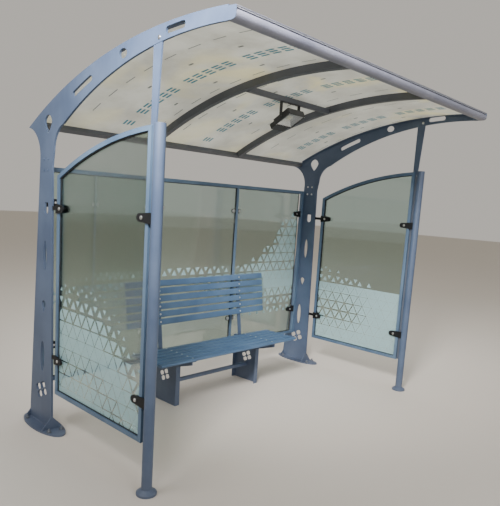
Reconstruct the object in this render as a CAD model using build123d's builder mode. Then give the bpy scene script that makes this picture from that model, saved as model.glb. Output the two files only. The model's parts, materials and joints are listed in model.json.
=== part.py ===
from build123d import *
from math import atan2, cos, degrees, radians, sin, sqrt, tan
import os

# Bus shelter: two arched steel plates carry a curved translucent roof over a slatted bench.
# Lengths are millimetres. X runs along the shelter, left is -X. The open front faces -Y. Z is up.
# Depths below are measured from the line of the two front posts and grow towards the back.

# Overall structure
shelter_length = 3021          # outer face to outer face of the two arches
column_thick = 15              # steel plate of the columns and arches
column_front_foot = 1139       # front edge of the column at the floor
column_rear_foot = 1471
column_front_neck = 1168       # front edge where the arch is spliced on
column_rear_neck = 1339
splice_drop = 265              # the arch sits on the column this far below its throat

# Arch curves
top_radius = 3621              # upper edge of the arch
top_apex_y = -256
top_apex_z = 2606
under_radius = 2572            # lower edge of the arch
under_apex_y = -330
under_apex_z = 2533
roof_front_y = -533            # nose of the front beam
front_beam_depth = 57
tip_y = 1513                   # the pointed tail of the arch
tail_turn = (-132, -74)        # steps in depth and height from the tip
tail_foot = (-176, -204)
throat_y = 1020                # the lower edge leaves its arc here
throat_turn = (77, -44)        # steps in depth and height from the throat
throat_foot = (130, -165)

# Cut-outs through the column, a little in front of its middle
cut_ahead_foot = 3
cut_ahead_neck = 20
bullet_z = 1588                # flat head, round foot
bullet_wide = 54
bullet_high = 82
upper_oval_z = 1258
upper_oval = (46, 207)         # width and height
drop_z = 892                   # round head, pointed foot
drop_wide = 55
drop_high = 86
drop_belly = 0.62              # half width midway down the sides, against the half width of the head
lower_oval_z = 521
lower_oval = (54, 223)
rosette_z = 268
petal_wide = 64
petal_high = 46
petal_corner = 18
petal_gap = 10
rosette_turn = -25             # degrees

# Cut-outs through the arch
long_slot = (700, 888)         # from depth to depth, along the middle of the arch
short_slot = (-160, -41)
slot_wide = 38
arch_oval_y = 357
arch_oval = (78, 56)
egg_centre = (1227, 2156)      # round head, pointed foot
egg_wide = 105
egg_high = 122

# Roof skin and what carries it
sheet_drop = 9                 # upper face of the skin below the upper edge of the arch
sheet_thick = 8
sheet_gap = 4                  # open joint over each rib
skin_rear_y = 1450
rib_width = 40
rib_depth = 50
rear_beam_y = 1420
rear_beam_wide = 44
rear_beam_deep = 34
ledge_out = 22                 # angle inside each arch that carries the edge of the skin
ledge_thick = 5
cap_width = 46                 # strip that covers a joint of the skin
cap_thick = 4
cross_rail_y = 373
cross_rail_size = 38
seat_gap = 0.3                 # clearance where one curved face lies on another

# Front posts
post_radius = 32
post_wall = 3
post_height = 2100
post_cap = 5
foot_radius = 61
foot_rim = 14
foot_height = 34
foot_sides = 20
strut_foot_wide = 46
strut_top_wide = 72
strut_thick = 10
strut_tongue = 19              # it reaches down between post and panel
strut_low = 2060

# Column base plates
plate_centre_y = 1260
plate_long = 530
plate_wide = 190
plate_thick = 12
anchor_radius = 9
anchor_x = 48                  # holes either side of the middle of the plate
anchor_y = 170
gusset_thick = 8
front_gusset = (72, 84)        # reach from the column and height
rear_gusset = (46, 56)

# Side panels
panel_front_y = 52
panel_rear_y = 1072
panel_bottom = 298
panel_top = 2098
panel_apex_y = -115
panel_arc_radius = 2600
panel_tube_y = 28
panel_tube_x = 38
glass_thick = 8
rebate_depth = 8
rebate_gap = 0.5

# Clamps between panel and column or post
clamp_low = 547
clamp_high = 1595
clamp_high_side = 66           # height at the straight side
clamp_nose_radius = 23
clamp_bolt_in = 51             # bolt inside the edge of the panel, this far from the nose's centre too
clamp_plate = 10
clamp_tongue_high = 26
clamp_tongue_thick = 10
clamp_boss_radius = 14
boss_sides = 12

# Rear wall
rear_wall_y = 1347
rear_rail_top = 1877
rear_rail_high = 30
rear_rail_deep = 30
rear_rail_bottom = 298
mullion_x = 469
mullion_width = 28
end_post_width = 34
end_glass_gap = 42             # open joint between end post and glass
fitting_low = 575
fitting_high = 1628
fitting_inset = 23             # bolt inside the edge of the glass

# Bench
bench_length = 1630
seat_top = 452
seat_front = 770
seat_slats = 6
seat_slat_wide = 54
seat_slat_gap = 14
seat_slat_high = 22
leg_x = 507
leg_front = 969
leg_rear = 1270
leg_sheet = 6
leg_flange = 45
bearer_high = 30
bearer_drop = 60               # the front of the leg meets the bearer this far below it
leg_rosette_z = 236
leg_rosette_scale = 0.8        # against the rosette of the column
back_slats = 6
back_slat_high = 52
back_slat_gap = 14
back_slat_thick = 20
back_bottom = 640
back_setback = 48              # foot of the back's face in front of the rear of the leg
back_lean = 8                  # degrees
back_arm_wide = 40
back_arm_thick = 8
stretcher_z = 160
stretcher_size = 30

# Floodlight under the cross rail
lamp_width = 194
lamp_height = 160
lamp_deep = 46
lamp_back = 23                 # pivot line in front of the back of the case
lamp_floor = 14
lamp_tilt = 60                 # degrees, lens turned down from level
lamp_drop = 109                # pivot below the rail
lamp_rim = 9
lamp_side_gap = 6
gear_wide = 150
gear_high = 62
gear_deep = 38
gear_neck = 14
boss_radius = 13
pivot_radius = 5
pivot_gap = 0.3
bracket_wide = 26
bracket_thick = 4
lens_thick = 4
lens_recess = 2

half_length = shelter_length / 2
arch_x = half_length - column_thick / 2
inner_x = half_length - column_thick
rib_x = inner_x / 3
depth_mid = (roof_front_y + plate_centre_y + plate_long / 2) / 2
top_centre_z = top_apex_z - top_radius
under_centre_z = under_apex_z - under_radius
arch_front_y = roof_front_y + front_beam_depth
skin_top = top_radius - sheet_drop
skin_under = skin_top - sheet_thick

os.makedirs("parts", exist_ok=True)


def side_plane(x):
    """Plane across the shelter at x: its axes are depth and height."""
    return Plane(origin=(x, -depth_mid, 0), x_dir=(0, 1, 0), z_dir=(1, 0, 0))


def front_plane(y):
    """Plane along the shelter at depth y: its axes are length and height, facing the front."""
    return Plane(origin=(0, y - depth_mid, 0), x_dir=(1, 0, 0), z_dir=(0, -1, 0))


def floor_plane(z):
    """Level plane at height z: its axes are length and depth."""
    return Plane(origin=(0, -depth_mid, z))


def top_z(y, radius=top_radius):
    """Height at depth y on an arc that shares its centre with the arch's upper edge."""
    return top_centre_z + sqrt(radius**2 - (y - top_apex_y) ** 2)


def under_z(y, radius=under_radius):
    """Height at depth y on an arc that shares its centre with the arch's lower edge."""
    return under_centre_z + sqrt(radius**2 - (y - under_apex_y) ** 2)


def column_front(z):
    return column_front_foot + (column_front_neck - column_front_foot) * z / splice_height


def column_rear(z):
    return column_rear_foot + (column_rear_neck - column_rear_foot) * z / splice_height


def cut_line(z):
    """Centre of the column's cut-outs at a height."""
    ahead = cut_ahead_foot + (cut_ahead_neck - cut_ahead_foot) * z / splice_height
    return ((column_front(z) + column_rear(z)) / 2 - ahead, z)


def step_from(point, step):
    """The point that lies a step in depth and height from another."""
    return (point[0] + step[0], point[1] + step[1])


throat = (throat_y, under_z(throat_y))
tip = (tip_y, top_z(tip_y))
splice_height = throat[1] - splice_drop


def roof_edge(radius, start_y, end_y):
    """Arc along the roof at a radius, from one depth to another."""
    mid_y = (start_y + end_y) / 2
    return ThreePointArc(
        (start_y, top_z(start_y, radius)), (mid_y, top_z(mid_y, radius)), (end_y, top_z(end_y, radius))
    )


def roof_band(outer, inner, start_y, end_y):
    """Closed outline between two roof arcs, cut off plumb at both ends."""
    roof_edge(outer, start_y, end_y)
    Line((end_y, top_z(end_y, outer)), (end_y, top_z(end_y, inner)))
    roof_edge(inner, end_y, start_y)
    Line((start_y, top_z(start_y, inner)), (start_y, top_z(start_y, outer)))


def save(piece, name):
    """Label a finished piece and write it to its own file."""
    piece.part.label = name
    export_step(piece.part, f"parts/{name}.step")


# Cut-outs: closed outlines round a centre
def bullet_outline(centre, wide, high):
    """Flat head and round foot."""
    y, z = centre
    head = z + high / 2
    turn = z - high / 2 + wide / 2
    with BuildLine() as outline:
        Line((y - wide / 2, turn), (y - wide / 2, head))
        Line((y - wide / 2, head), (y + wide / 2, head))
        Line((y + wide / 2, head), (y + wide / 2, turn))
        ThreePointArc((y + wide / 2, turn), (y, z - high / 2), (y - wide / 2, turn))
    return outline.edges()


def drop_outline(centre, wide, high):
    """A round head, and full sides that meet in a point at the foot."""
    y, z = centre
    half = wide / 2
    turn = z + high / 2 - half
    foot = z - high / 2
    belly = (half * drop_belly, (turn + foot) / 2)
    with BuildLine() as outline:
        ThreePointArc((y - half, turn), (y, z + high / 2), (y + half, turn))
        ThreePointArc((y + half, turn), (y + belly[0], belly[1]), (y, foot))
        ThreePointArc((y, foot), (y - belly[0], belly[1]), (y - half, turn))
    return outline.edges()


def rosette(centre, scale):
    """Four petals with round corners, a cross of metal left between them."""
    wide, high, gap = (size * scale for size in (petal_wide, petal_high, petal_gap))
    with Locations(Location(centre, rosette_turn)):
        with GridLocations(wide + gap, high + gap, 2, 2):
            RectangleRounded(wide, high, petal_corner * scale)


# Column: a tapered plate with a row of cut-outs
def build_column(side, name):
    with BuildPart() as column:
        with BuildSketch(side_plane(side * arch_x)):
            with BuildLine():
                Polyline(
                    (column_front(plate_thick), plate_thick),
                    (column_rear(plate_thick), plate_thick),
                    (column_rear_neck, splice_height),
                    (column_front_neck, splice_height),
                    close=True,
                )
            make_face()
        extrude(amount=column_thick / 2, both=True)
        with BuildSketch(side_plane(side * arch_x)):
            make_face(bullet_outline(cut_line(bullet_z), bullet_wide, bullet_high))
            make_face(drop_outline(cut_line(drop_z), drop_wide, drop_high))
            for z, (wide, high) in ((upper_oval_z, upper_oval), (lower_oval_z, lower_oval)):
                with Locations(cut_line(z)):
                    Ellipse(wide / 2, high / 2)
            rosette(cut_line(rosette_z), 1)
        extrude(amount=column_thick, both=True, mode=Mode.SUBTRACT)
    save(column, name)


build_column(-1, "left_column")
build_column(1, "right_column")


# Arch: a plate that sweeps forward from the top of the column and ends behind it in a tail
def arch_mid(y):
    return (y, (top_z(y) + under_z(y)) / 2)


def arch_slot(depths):
    """Bean-shaped slot that follows the middle of the arch."""
    start_y, end_y = depths
    with BuildLine(mode=Mode.PRIVATE) as path:
        ThreePointArc(arch_mid(start_y), arch_mid((start_y + end_y) / 2), arch_mid(end_y))
    SlotArc(path.edges()[0], slot_wide)


def build_arch(side, name):
    mid_under = (arch_front_y + throat_y) / 2
    throat_end = step_from(throat, throat_foot)
    tail_end = step_from(tip, tail_foot)
    with BuildPart() as arch:
        with BuildSketch(side_plane(side * arch_x)):
            with BuildLine():
                Line((column_front_neck, splice_height), throat_end)
                ThreePointArc(throat_end, step_from(throat, throat_turn), throat)
                ThreePointArc(throat, (mid_under, under_z(mid_under)), (arch_front_y, under_z(arch_front_y)))
                Line((arch_front_y, under_z(arch_front_y)), (arch_front_y, top_z(arch_front_y)))
                roof_edge(top_radius, arch_front_y, tip_y)
                ThreePointArc(tip, step_from(tip, tail_turn), tail_end)
                Line(tail_end, (column_rear_neck, splice_height))
                Line((column_rear_neck, splice_height), (column_front_neck, splice_height))
            make_face()
        extrude(amount=column_thick / 2, both=True)
        with BuildSketch(side_plane(side * arch_x)):
            arch_slot(long_slot)
            arch_slot(short_slot)
            with Locations(arch_mid(arch_oval_y)):
                Ellipse(arch_oval[0] / 2, arch_oval[1] / 2)
            make_face(drop_outline(egg_centre, egg_wide, egg_high))
        extrude(amount=column_thick, both=True, mode=Mode.SUBTRACT)
        with BuildSketch(side_plane(side * inner_x)):
            with BuildLine():
                low = skin_under - seat_gap - ledge_thick
                roof_band(skin_under - seat_gap, low, arch_front_y + ledge_out, rear_beam_y - 2 * ledge_out)
            make_face()
        extrude(amount=-side * ledge_out)
    save(arch, name)


build_arch(-1, "left_arch")
build_arch(1, "right_arch")


# Base plate: a long ellipse with anchor holes and gussets on both faces of the column
def build_base_plate(side, name):
    with BuildPart() as plate:
        with BuildSketch(floor_plane(0)):
            with Locations((side * arch_x, plate_centre_y)):
                Ellipse(plate_wide / 2, plate_long / 2)
            with Locations((side * arch_x, plate_centre_y)):
                with GridLocations(2 * anchor_x, 2 * anchor_y, 2, 2):
                    Circle(anchor_radius, mode=Mode.SUBTRACT)
        extrude(amount=plate_thick)
        front_y = column_front(plate_thick + front_gusset[1]) + gusset_thick
        rear_y = column_rear(plate_thick + rear_gusset[1])
        for y, (reach, high) in ((front_y, front_gusset), (rear_y, rear_gusset)):
            with BuildSketch(front_plane(y)):
                for face in (1, -1):
                    root = side * arch_x + face * column_thick / 2
                    with BuildLine():
                        Polyline(
                            (root, plate_thick),
                            (root + face * reach, plate_thick),
                            (root, plate_thick + high),
                            close=True,
                        )
                    make_face()
            extrude(amount=gusset_thick)
    save(plate, name)


build_base_plate(-1, "left_base_plate")
build_base_plate(1, "right_base_plate")


# Front post: round tube with a flat cap, on a low foot with a sloping top
def build_post(side, name):
    with BuildPart() as post:
        with BuildSketch(floor_plane(foot_height)):
            with Locations((side * arch_x, 0)):
                Circle(post_radius)
        extrude(amount=post_height - foot_height)
        with BuildSketch(floor_plane(foot_height)):
            with Locations((side * arch_x, 0)):
                Circle(post_radius - post_wall)
        extrude(amount=post_height - foot_height - post_cap, mode=Mode.SUBTRACT)
    save(post, name)


def build_foot(side, name):
    slope = degrees(atan2(foot_radius - post_radius, foot_height - foot_rim))
    with BuildPart() as foot:
        with BuildSketch(floor_plane(0)):
            with Locations((side * arch_x, 0)):
                RegularPolygon(foot_radius, foot_sides)
        extrude(amount=foot_rim)
        with BuildSketch(floor_plane(foot_rim)):
            with Locations((side * arch_x, 0)):
                RegularPolygon(foot_radius, foot_sides)
        extrude(amount=foot_height - foot_rim, taper=slope)
    save(foot, name)


build_post(-1, "left_front_post")
build_post(1, "right_front_post")
build_foot(-1, "left_post_foot")
build_foot(1, "right_post_foot")


# Side panel: a tube frame with an arched head, glass in a groove inside it
def arc_z(y, radius):
    """Height at depth y on an arc that shares its centre with the panel's head."""
    return panel_top - panel_arc_radius + sqrt(radius**2 - (y - panel_apex_y) ** 2)


def panel_outline(inset):
    """Outline of the panel, drawn in by an inset."""
    front = panel_front_y + inset
    rear = panel_rear_y - inset
    low = panel_bottom + inset
    radius = panel_arc_radius - inset
    mid = (front + rear) / 2
    with BuildLine() as outline:
        Polyline((front, arc_z(front, radius)), (front, low), (rear, low), (rear, arc_z(rear, radius)))
        ThreePointArc((rear, arc_z(rear, radius)), (mid, arc_z(mid, radius)), (front, arc_z(front, radius)))
    return outline.edges()


def build_panel_frame(side, name):
    with BuildPart() as frame:
        with BuildSketch(side_plane(side * arch_x)):
            make_face(panel_outline(0))
        extrude(amount=panel_tube_x / 2, both=True)
        with BuildSketch(side_plane(side * arch_x)):
            make_face(panel_outline(panel_tube_y))
        extrude(amount=panel_tube_x / 2, both=True, mode=Mode.SUBTRACT)
        with BuildSketch(side_plane(side * arch_x)):
            make_face(panel_outline(panel_tube_y - rebate_depth))
        extrude(amount=glass_thick / 2 + rebate_gap, both=True, mode=Mode.SUBTRACT)
    save(frame, name)


def build_panel_glass(side, name):
    with BuildPart() as glass:
        with BuildSketch(side_plane(side * arch_x)):
            make_face(panel_outline(panel_tube_y - rebate_depth + rebate_gap))
        extrude(amount=glass_thick / 2, both=True)
    save(glass, name)


build_panel_frame(-1, "left_panel_frame")
build_panel_frame(1, "right_panel_frame")
build_panel_glass(-1, "left_panel_glass")
build_panel_glass(1, "right_panel_glass")


# Strut: a flat plate that stands on the panel behind the post and widens up to the arch
def build_strut(side, name):
    front = post_radius + seat_gap
    rear = front + strut_foot_wide
    top_front = rear - strut_top_wide
    seat = under_radius - seat_gap
    mid = (top_front + rear) / 2
    tongue = front + strut_tongue
    foot_z = arc_z(tongue, panel_arc_radius) + seat_gap
    with BuildPart() as strut:
        with BuildSketch(side_plane(side * arch_x)):
            with BuildLine():
                Polyline(
                    (rear, under_z(rear, seat)),
                    (rear, foot_z),
                    (tongue, foot_z),
                    (tongue, strut_low),
                    (front, strut_low),
                    (front, post_height),
                    (top_front, under_z(top_front, seat)),
                )
                ThreePointArc(
                    (top_front, under_z(top_front, seat)), (mid, under_z(mid, seat)), (rear, under_z(rear, seat))
                )
            make_face()
        extrude(amount=strut_thick / 2, both=True)
    save(strut, name)


build_strut(-1, "left_roof_strut")
build_strut(1, "right_roof_strut")


# Clamps: plates on both faces of the panel, wide at the post and round at the nose
def clamp_outline(start, bolt, z):
    """Straight side at start, round nose past the bolt."""
    turn = 1 if bolt > start else -1
    half = clamp_high_side / 2
    radius = clamp_nose_radius
    nose = bolt + turn * radius
    with BuildLine() as outline:
        Polyline((nose, z - radius), (start, z - half), (start, z + half), (nose, z + radius))
        ThreePointArc((nose, z + radius), (nose + turn * radius, z), (nose, z - radius))
    return outline.edges()


def build_clamps(side, name):
    post_bolt = panel_front_y + clamp_bolt_in
    column_bolt = panel_rear_y - clamp_bolt_in
    with BuildPart() as clamps:
        for z in (clamp_low, clamp_high):
            for start, bolt in ((0, post_bolt), (panel_rear_y, column_bolt)):
                for face in (1, -1):
                    with BuildSketch(side_plane(side * arch_x + face * panel_tube_x / 2)):
                        make_face(clamp_outline(start, bolt, z))
                    extrude(amount=face * clamp_plate)
                    with BuildSketch(side_plane(side * arch_x + face * glass_thick / 2)):
                        with Locations((bolt, z)):
                            RegularPolygon(clamp_boss_radius, boss_sides)
                    extrude(amount=face * (panel_tube_x - glass_thick) / 2)
            with BuildSketch(side_plane(side * arch_x)):
                low = z - clamp_tongue_high / 2
                high = z + clamp_tongue_high / 2
                with BuildLine():
                    Polyline(
                        (panel_rear_y + seat_gap, low),
                        (column_front(low) - seat_gap, low),
                        (column_front(high) - seat_gap, high),
                        (panel_rear_y + seat_gap, high),
                        close=True,
                    )
                make_face()
            extrude(amount=clamp_tongue_thick / 2, both=True)
        with BuildSketch(floor_plane(foot_height)):
            with Locations((side * arch_x, 0)):
                Circle(post_radius + seat_gap)
        extrude(amount=post_height, mode=Mode.SUBTRACT)
        with BuildSketch(side_plane(side * arch_x)):
            with Locations((-post_radius, post_height / 2)):
                Rectangle(2 * post_radius, post_height)
        extrude(amount=2 * panel_tube_x, both=True, mode=Mode.SUBTRACT)
    save(clamps, name)


build_clamps(-1, "left_panel_clamps")
build_clamps(1, "right_panel_clamps")


# Roof front beam: a rounded nose under a flat lip, from outer face to outer face
beam_drop = 7                  # lip below the upper edge of the arch
lip_high = 6
lip_back = 4                   # the lip stands behind the nose
groove_back = 14
groove_high = 7
with BuildPart() as front_beam:
    beam_top = top_z(arch_front_y) - beam_drop
    beam_low = under_z(arch_front_y)
    lip_y = roof_front_y + lip_back
    groove_y = roof_front_y + groove_back
    nose_top = beam_top - lip_high - groove_high
    nose_radius = (nose_top - beam_low) / 2
    nose_z = beam_low + nose_radius
    nose_y = roof_front_y + nose_radius
    with BuildSketch(side_plane(0)):
        with BuildLine():
            Polyline(
                (nose_y, beam_low),
                (arch_front_y, beam_low),
                (arch_front_y, beam_top),
                (lip_y, beam_top - lip_high / 2),
                (lip_y, beam_top - lip_high),
                (groove_y, beam_top - lip_high),
                (groove_y, nose_top),
                (nose_y, nose_top),
            )
            ThreePointArc((nose_y, nose_top), (roof_front_y, nose_z), (nose_y, beam_low))
        make_face()
    extrude(amount=half_length, both=True)
save(front_beam, "roof_front_beam")

# Roof rear beam: a box rail turned to lie flat against the underside of the skin
rear_angle = atan2(rear_beam_y - top_apex_y, top_z(rear_beam_y, skin_under) - top_centre_z)
beam_seat = sqrt((skin_under - seat_gap) ** 2 - (rear_beam_wide / 2) ** 2)


def on_rear_beam(along, out):
    """Depth and height of a point that lies along the skin and out from the roof's centre of curvature."""
    y = top_apex_y + out * sin(rear_angle) + along * cos(rear_angle)
    z = top_centre_z + out * cos(rear_angle) - along * sin(rear_angle)
    return (y, z)


with BuildPart() as rear_beam:
    with BuildSketch(side_plane(0)):
        with BuildLine():
            Polyline(
                on_rear_beam(-rear_beam_wide / 2, beam_seat),
                on_rear_beam(rear_beam_wide / 2, beam_seat),
                on_rear_beam(rear_beam_wide / 2, beam_seat - rear_beam_deep),
                on_rear_beam(-rear_beam_wide / 2, beam_seat - rear_beam_deep),
                close=True,
            )
        make_face()
    extrude(amount=inner_x, both=True)
save(rear_beam, "roof_rear_beam")


# Ribs: curved bars from the front beam to the rear beam, under the joints of the skin
def build_rib(side, name):
    high = skin_under - seat_gap
    low = high - rib_depth
    end_high = on_rear_beam(-rear_beam_wide / 2, sqrt(high**2 - (rear_beam_wide / 2) ** 2))
    end_low = on_rear_beam(-rear_beam_wide / 2, sqrt(low**2 - (rear_beam_wide / 2) ** 2))
    with BuildPart() as rib:
        with BuildSketch(side_plane(side * rib_x)):
            with BuildLine():
                roof_edge(high, arch_front_y, end_high[0])
                Line(end_high, end_low)
                roof_edge(low, end_low[0], arch_front_y)
                Line((arch_front_y, top_z(arch_front_y, low)), (arch_front_y, top_z(arch_front_y, high)))
            make_face()
        extrude(amount=rib_width / 2, both=True)
    save(rib, name)


build_rib(-1, "left_roof_rib")
build_rib(1, "right_roof_rib")

# Cross rail between the ribs, flush with their underside, which carries the floodlight
rail_low = top_z(cross_rail_y + cross_rail_size / 2, skin_under - seat_gap - rib_depth)
with BuildPart() as cross_rail:
    with BuildSketch(side_plane(0)):
        with Locations((cross_rail_y, rail_low + cross_rail_size / 2)):
            RectangleRounded(cross_rail_size, cross_rail_size, 4)
    extrude(amount=rib_x - rib_width / 2, both=True)
save(cross_rail, "roof_cross_rail")


# Skin: one curved translucent sheet to a bay
def build_sheet(centre_x, width, name):
    with BuildPart() as sheet:
        with BuildSketch(side_plane(centre_x)):
            with BuildLine():
                roof_band(skin_top, skin_under, arch_front_y, skin_rear_y)
            make_face()
        extrude(amount=width / 2, both=True)
    save(sheet, name)


side_sheet = inner_x - seat_gap - rib_x - sheet_gap / 2
build_sheet(-(rib_x + sheet_gap / 2 + side_sheet / 2), side_sheet, "left_roof_sheet")
build_sheet(0, 2 * rib_x - sheet_gap, "middle_roof_sheet")
build_sheet(rib_x + sheet_gap / 2 + side_sheet / 2, side_sheet, "right_roof_sheet")


# Cover strips over the joints of the skin
def build_strip(side, name):
    with BuildPart() as strip:
        with BuildSketch(side_plane(side * rib_x)):
            with BuildLine():
                low = skin_top + seat_gap
                roof_band(low + cap_thick, low, arch_front_y, skin_rear_y)
            make_face()
        extrude(amount=cap_width / 2, both=True)
    save(strip, name)


build_strip(-1, "left_cover_strip")
build_strip(1, "right_cover_strip")


# Rear wall: two rails, two mullions and two end posts between the columns, a pane in each bay
def build_rear_rail(top, name):
    with BuildPart() as rail:
        with BuildSketch(side_plane(0)):
            with Locations((rear_wall_y, top - rear_rail_high / 2)):
                RectangleRounded(rear_rail_deep, rear_rail_high, 3)
        extrude(amount=inner_x, both=True)
    save(rail, name)


rear_bottom_top = rear_rail_bottom + rear_rail_high
pane_bottom = rear_bottom_top
pane_top = rear_rail_top - rear_rail_high
build_rear_rail(rear_rail_top, "rear_top_rail")
build_rear_rail(rear_bottom_top, "rear_bottom_rail")


def build_upright(places, width, name):
    with BuildPart() as upright:
        with BuildSketch(floor_plane(pane_bottom)):
            for x in places:
                with Locations((x, rear_wall_y)):
                    RectangleRounded(width, rear_rail_deep, 3)
        extrude(amount=pane_top - pane_bottom)
    save(upright, name)


end_post_x = inner_x - end_post_width / 2
build_upright((-mullion_x,), mullion_width, "left_rear_mullion")
build_upright((mullion_x,), mullion_width, "right_rear_mullion")
build_upright((-end_post_x, end_post_x), end_post_width, "rear_end_posts")


def build_pane(low_x, high_x, name):
    with BuildPart() as pane:
        with BuildSketch(front_plane(rear_wall_y)):
            with Locations(((low_x + high_x) / 2, (pane_bottom + pane_top) / 2)):
                Rectangle(high_x - low_x, pane_top - pane_bottom - 2 * rebate_gap)
        extrude(amount=glass_thick / 2, both=True)
    save(pane, name)


end_glass_x = inner_x - end_post_width - end_glass_gap
mullion_inner = mullion_x - mullion_width / 2 - rebate_gap
mullion_outer = mullion_x + mullion_width / 2 + rebate_gap
build_pane(-end_glass_x, -mullion_outer, "left_rear_glass")
build_pane(-mullion_inner, mullion_inner, "middle_rear_glass")
build_pane(mullion_outer, end_glass_x, "right_rear_glass")

# Clamps of the rear glass at the end posts, on both faces
with BuildPart() as fittings:
    for face in (1, -1):
        with BuildSketch(front_plane(rear_wall_y - face * glass_thick / 2)):
            for z in (fitting_low, fitting_high):
                for side in (1, -1):
                    start = side * (inner_x - end_post_width - seat_gap)
                    make_face(clamp_outline(start, side * (end_glass_x - fitting_inset), z))
        extrude(amount=face * clamp_plate)
save(fittings, "rear_glass_fittings")

# Bench seat: metal slats with the long edges rounded
with BuildPart() as seat:
    with BuildSketch(side_plane(0)):
        for i in range(seat_slats):
            centre = seat_front + seat_slat_wide / 2 + i * (seat_slat_wide + seat_slat_gap)
            with Locations((centre, seat_top - seat_slat_high / 2)):
                RectangleRounded(seat_slat_wide, seat_slat_high, 7)
    extrude(amount=bench_length / 2, both=True)
save(seat, "bench_seat_slats")

# Bench back: slats on a plane that leans back a little
back_turn = radians(back_lean)
back_plane = Plane(
    origin=(0, leg_rear - back_setback - depth_mid, back_bottom),
    x_dir=(0, sin(back_turn), cos(back_turn)),
    z_dir=(1, 0, 0),
)
back_pitch = back_slat_high + back_slat_gap
with BuildPart() as back:
    with BuildSketch(back_plane):
        for i in range(back_slats):
            with Locations((back_slat_high / 2 + i * back_pitch, -back_slat_thick / 2)):
                RectangleRounded(back_slat_high, back_slat_thick, 6)
    extrude(amount=bench_length / 2, both=True)
save(back, "bench_back_slats")


# Bench leg: a folded sheet plate with a rosette cut in it and a bearer under the slats
def build_leg(side, name):
    leg_top = seat_top - seat_slat_high
    bearer_front = seat_front + leg_sheet
    shoulder = leg_top - bearer_high - bearer_drop
    with BuildPart() as leg:
        with BuildSketch(side_plane(side * leg_x)):
            with BuildLine():
                Polyline(
                    (leg_front, 0),
                    (leg_rear, 0),
                    (leg_rear, leg_top),
                    (bearer_front, leg_top),
                    (bearer_front, leg_top - bearer_high),
                    (leg_front, shoulder),
                    close=True,
                )
            make_face()
        extrude(amount=-side * leg_sheet)
        with BuildSketch(side_plane(side * leg_x)):
            rosette(((leg_front + leg_rear) / 2, leg_rosette_z), leg_rosette_scale)
        extrude(amount=-side * leg_sheet, mode=Mode.SUBTRACT)
        with BuildSketch(side_plane(side * leg_x)):
            with Locations((leg_front + leg_sheet / 2, shoulder / 2)):
                Rectangle(leg_sheet, shoulder)
            with Locations((leg_rear - leg_sheet / 2, leg_top / 2)):
                Rectangle(leg_sheet, leg_top)
            with Locations(((bearer_front + leg_rear) / 2, leg_top - leg_sheet / 2)):
                Rectangle(leg_rear - bearer_front, leg_sheet)
        extrude(amount=-side * leg_flange)
    save(leg, name)


build_leg(-1, "left_bench_leg")
build_leg(1, "right_bench_leg")

with BuildPart() as stretcher:
    with BuildSketch(side_plane(0)):
        with Locations(((leg_front + leg_rear) / 2, stretcher_z)):
            RectangleRounded(stretcher_size, stretcher_size, 3)
    extrude(amount=leg_x - leg_sheet, both=True)
save(stretcher, "bench_stretcher")


# Back arm: a bar behind the back slats that stands on the leg
def back_plane_foot(out):
    """How far along the leaning plane of the back the top of the leg lies, out from its face."""
    return (seat_top - seat_slat_high - back_bottom) / cos(back_turn) - out * tan(back_turn)


def build_back_arm(side, name):
    reach = back_slats * back_pitch - back_slat_gap
    front = -back_slat_thick
    rear = front - back_arm_thick
    with BuildPart() as arm:
        with BuildSketch(back_plane.offset(side * (leg_x - leg_flange / 2))):
            with BuildLine():
                Polyline(
                    (back_plane_foot(rear), rear),
                    (reach, rear),
                    (reach, front),
                    (back_plane_foot(front), front),
                    close=True,
                )
            make_face()
        extrude(amount=back_arm_wide / 2, both=True)
    save(arm, name)


build_back_arm(-1, "left_back_arm")
build_back_arm(1, "right_back_arm")

# Floodlight bracket: a strap folded to a U, hung under the cross rail
pivot_z = rail_low - lamp_drop
strap_inner = lamp_width / 2 + lamp_side_gap
strap_outer = strap_inner + bracket_thick
with BuildPart() as bracket:
    with BuildSketch(front_plane(cross_rail_y)):
        with BuildLine():
            strap_low = pivot_z - bracket_wide / 2
            Polyline(
                (-strap_outer, strap_low),
                (-strap_outer, rail_low),
                (strap_outer, rail_low),
                (strap_outer, strap_low),
                (strap_inner, strap_low),
                (strap_inner, rail_low - bracket_thick),
                (-strap_inner, rail_low - bracket_thick),
                (-strap_inner, strap_low),
                close=True,
            )
        make_face()
    extrude(amount=bracket_wide / 2, both=True)
    with BuildSketch(side_plane(0)):
        with Locations((cross_rail_y, pivot_z)):
            Circle(pivot_radius + pivot_gap)
    extrude(amount=strap_outer, both=True, mode=Mode.SUBTRACT)
save(bracket, "floodlight_bracket")

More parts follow.
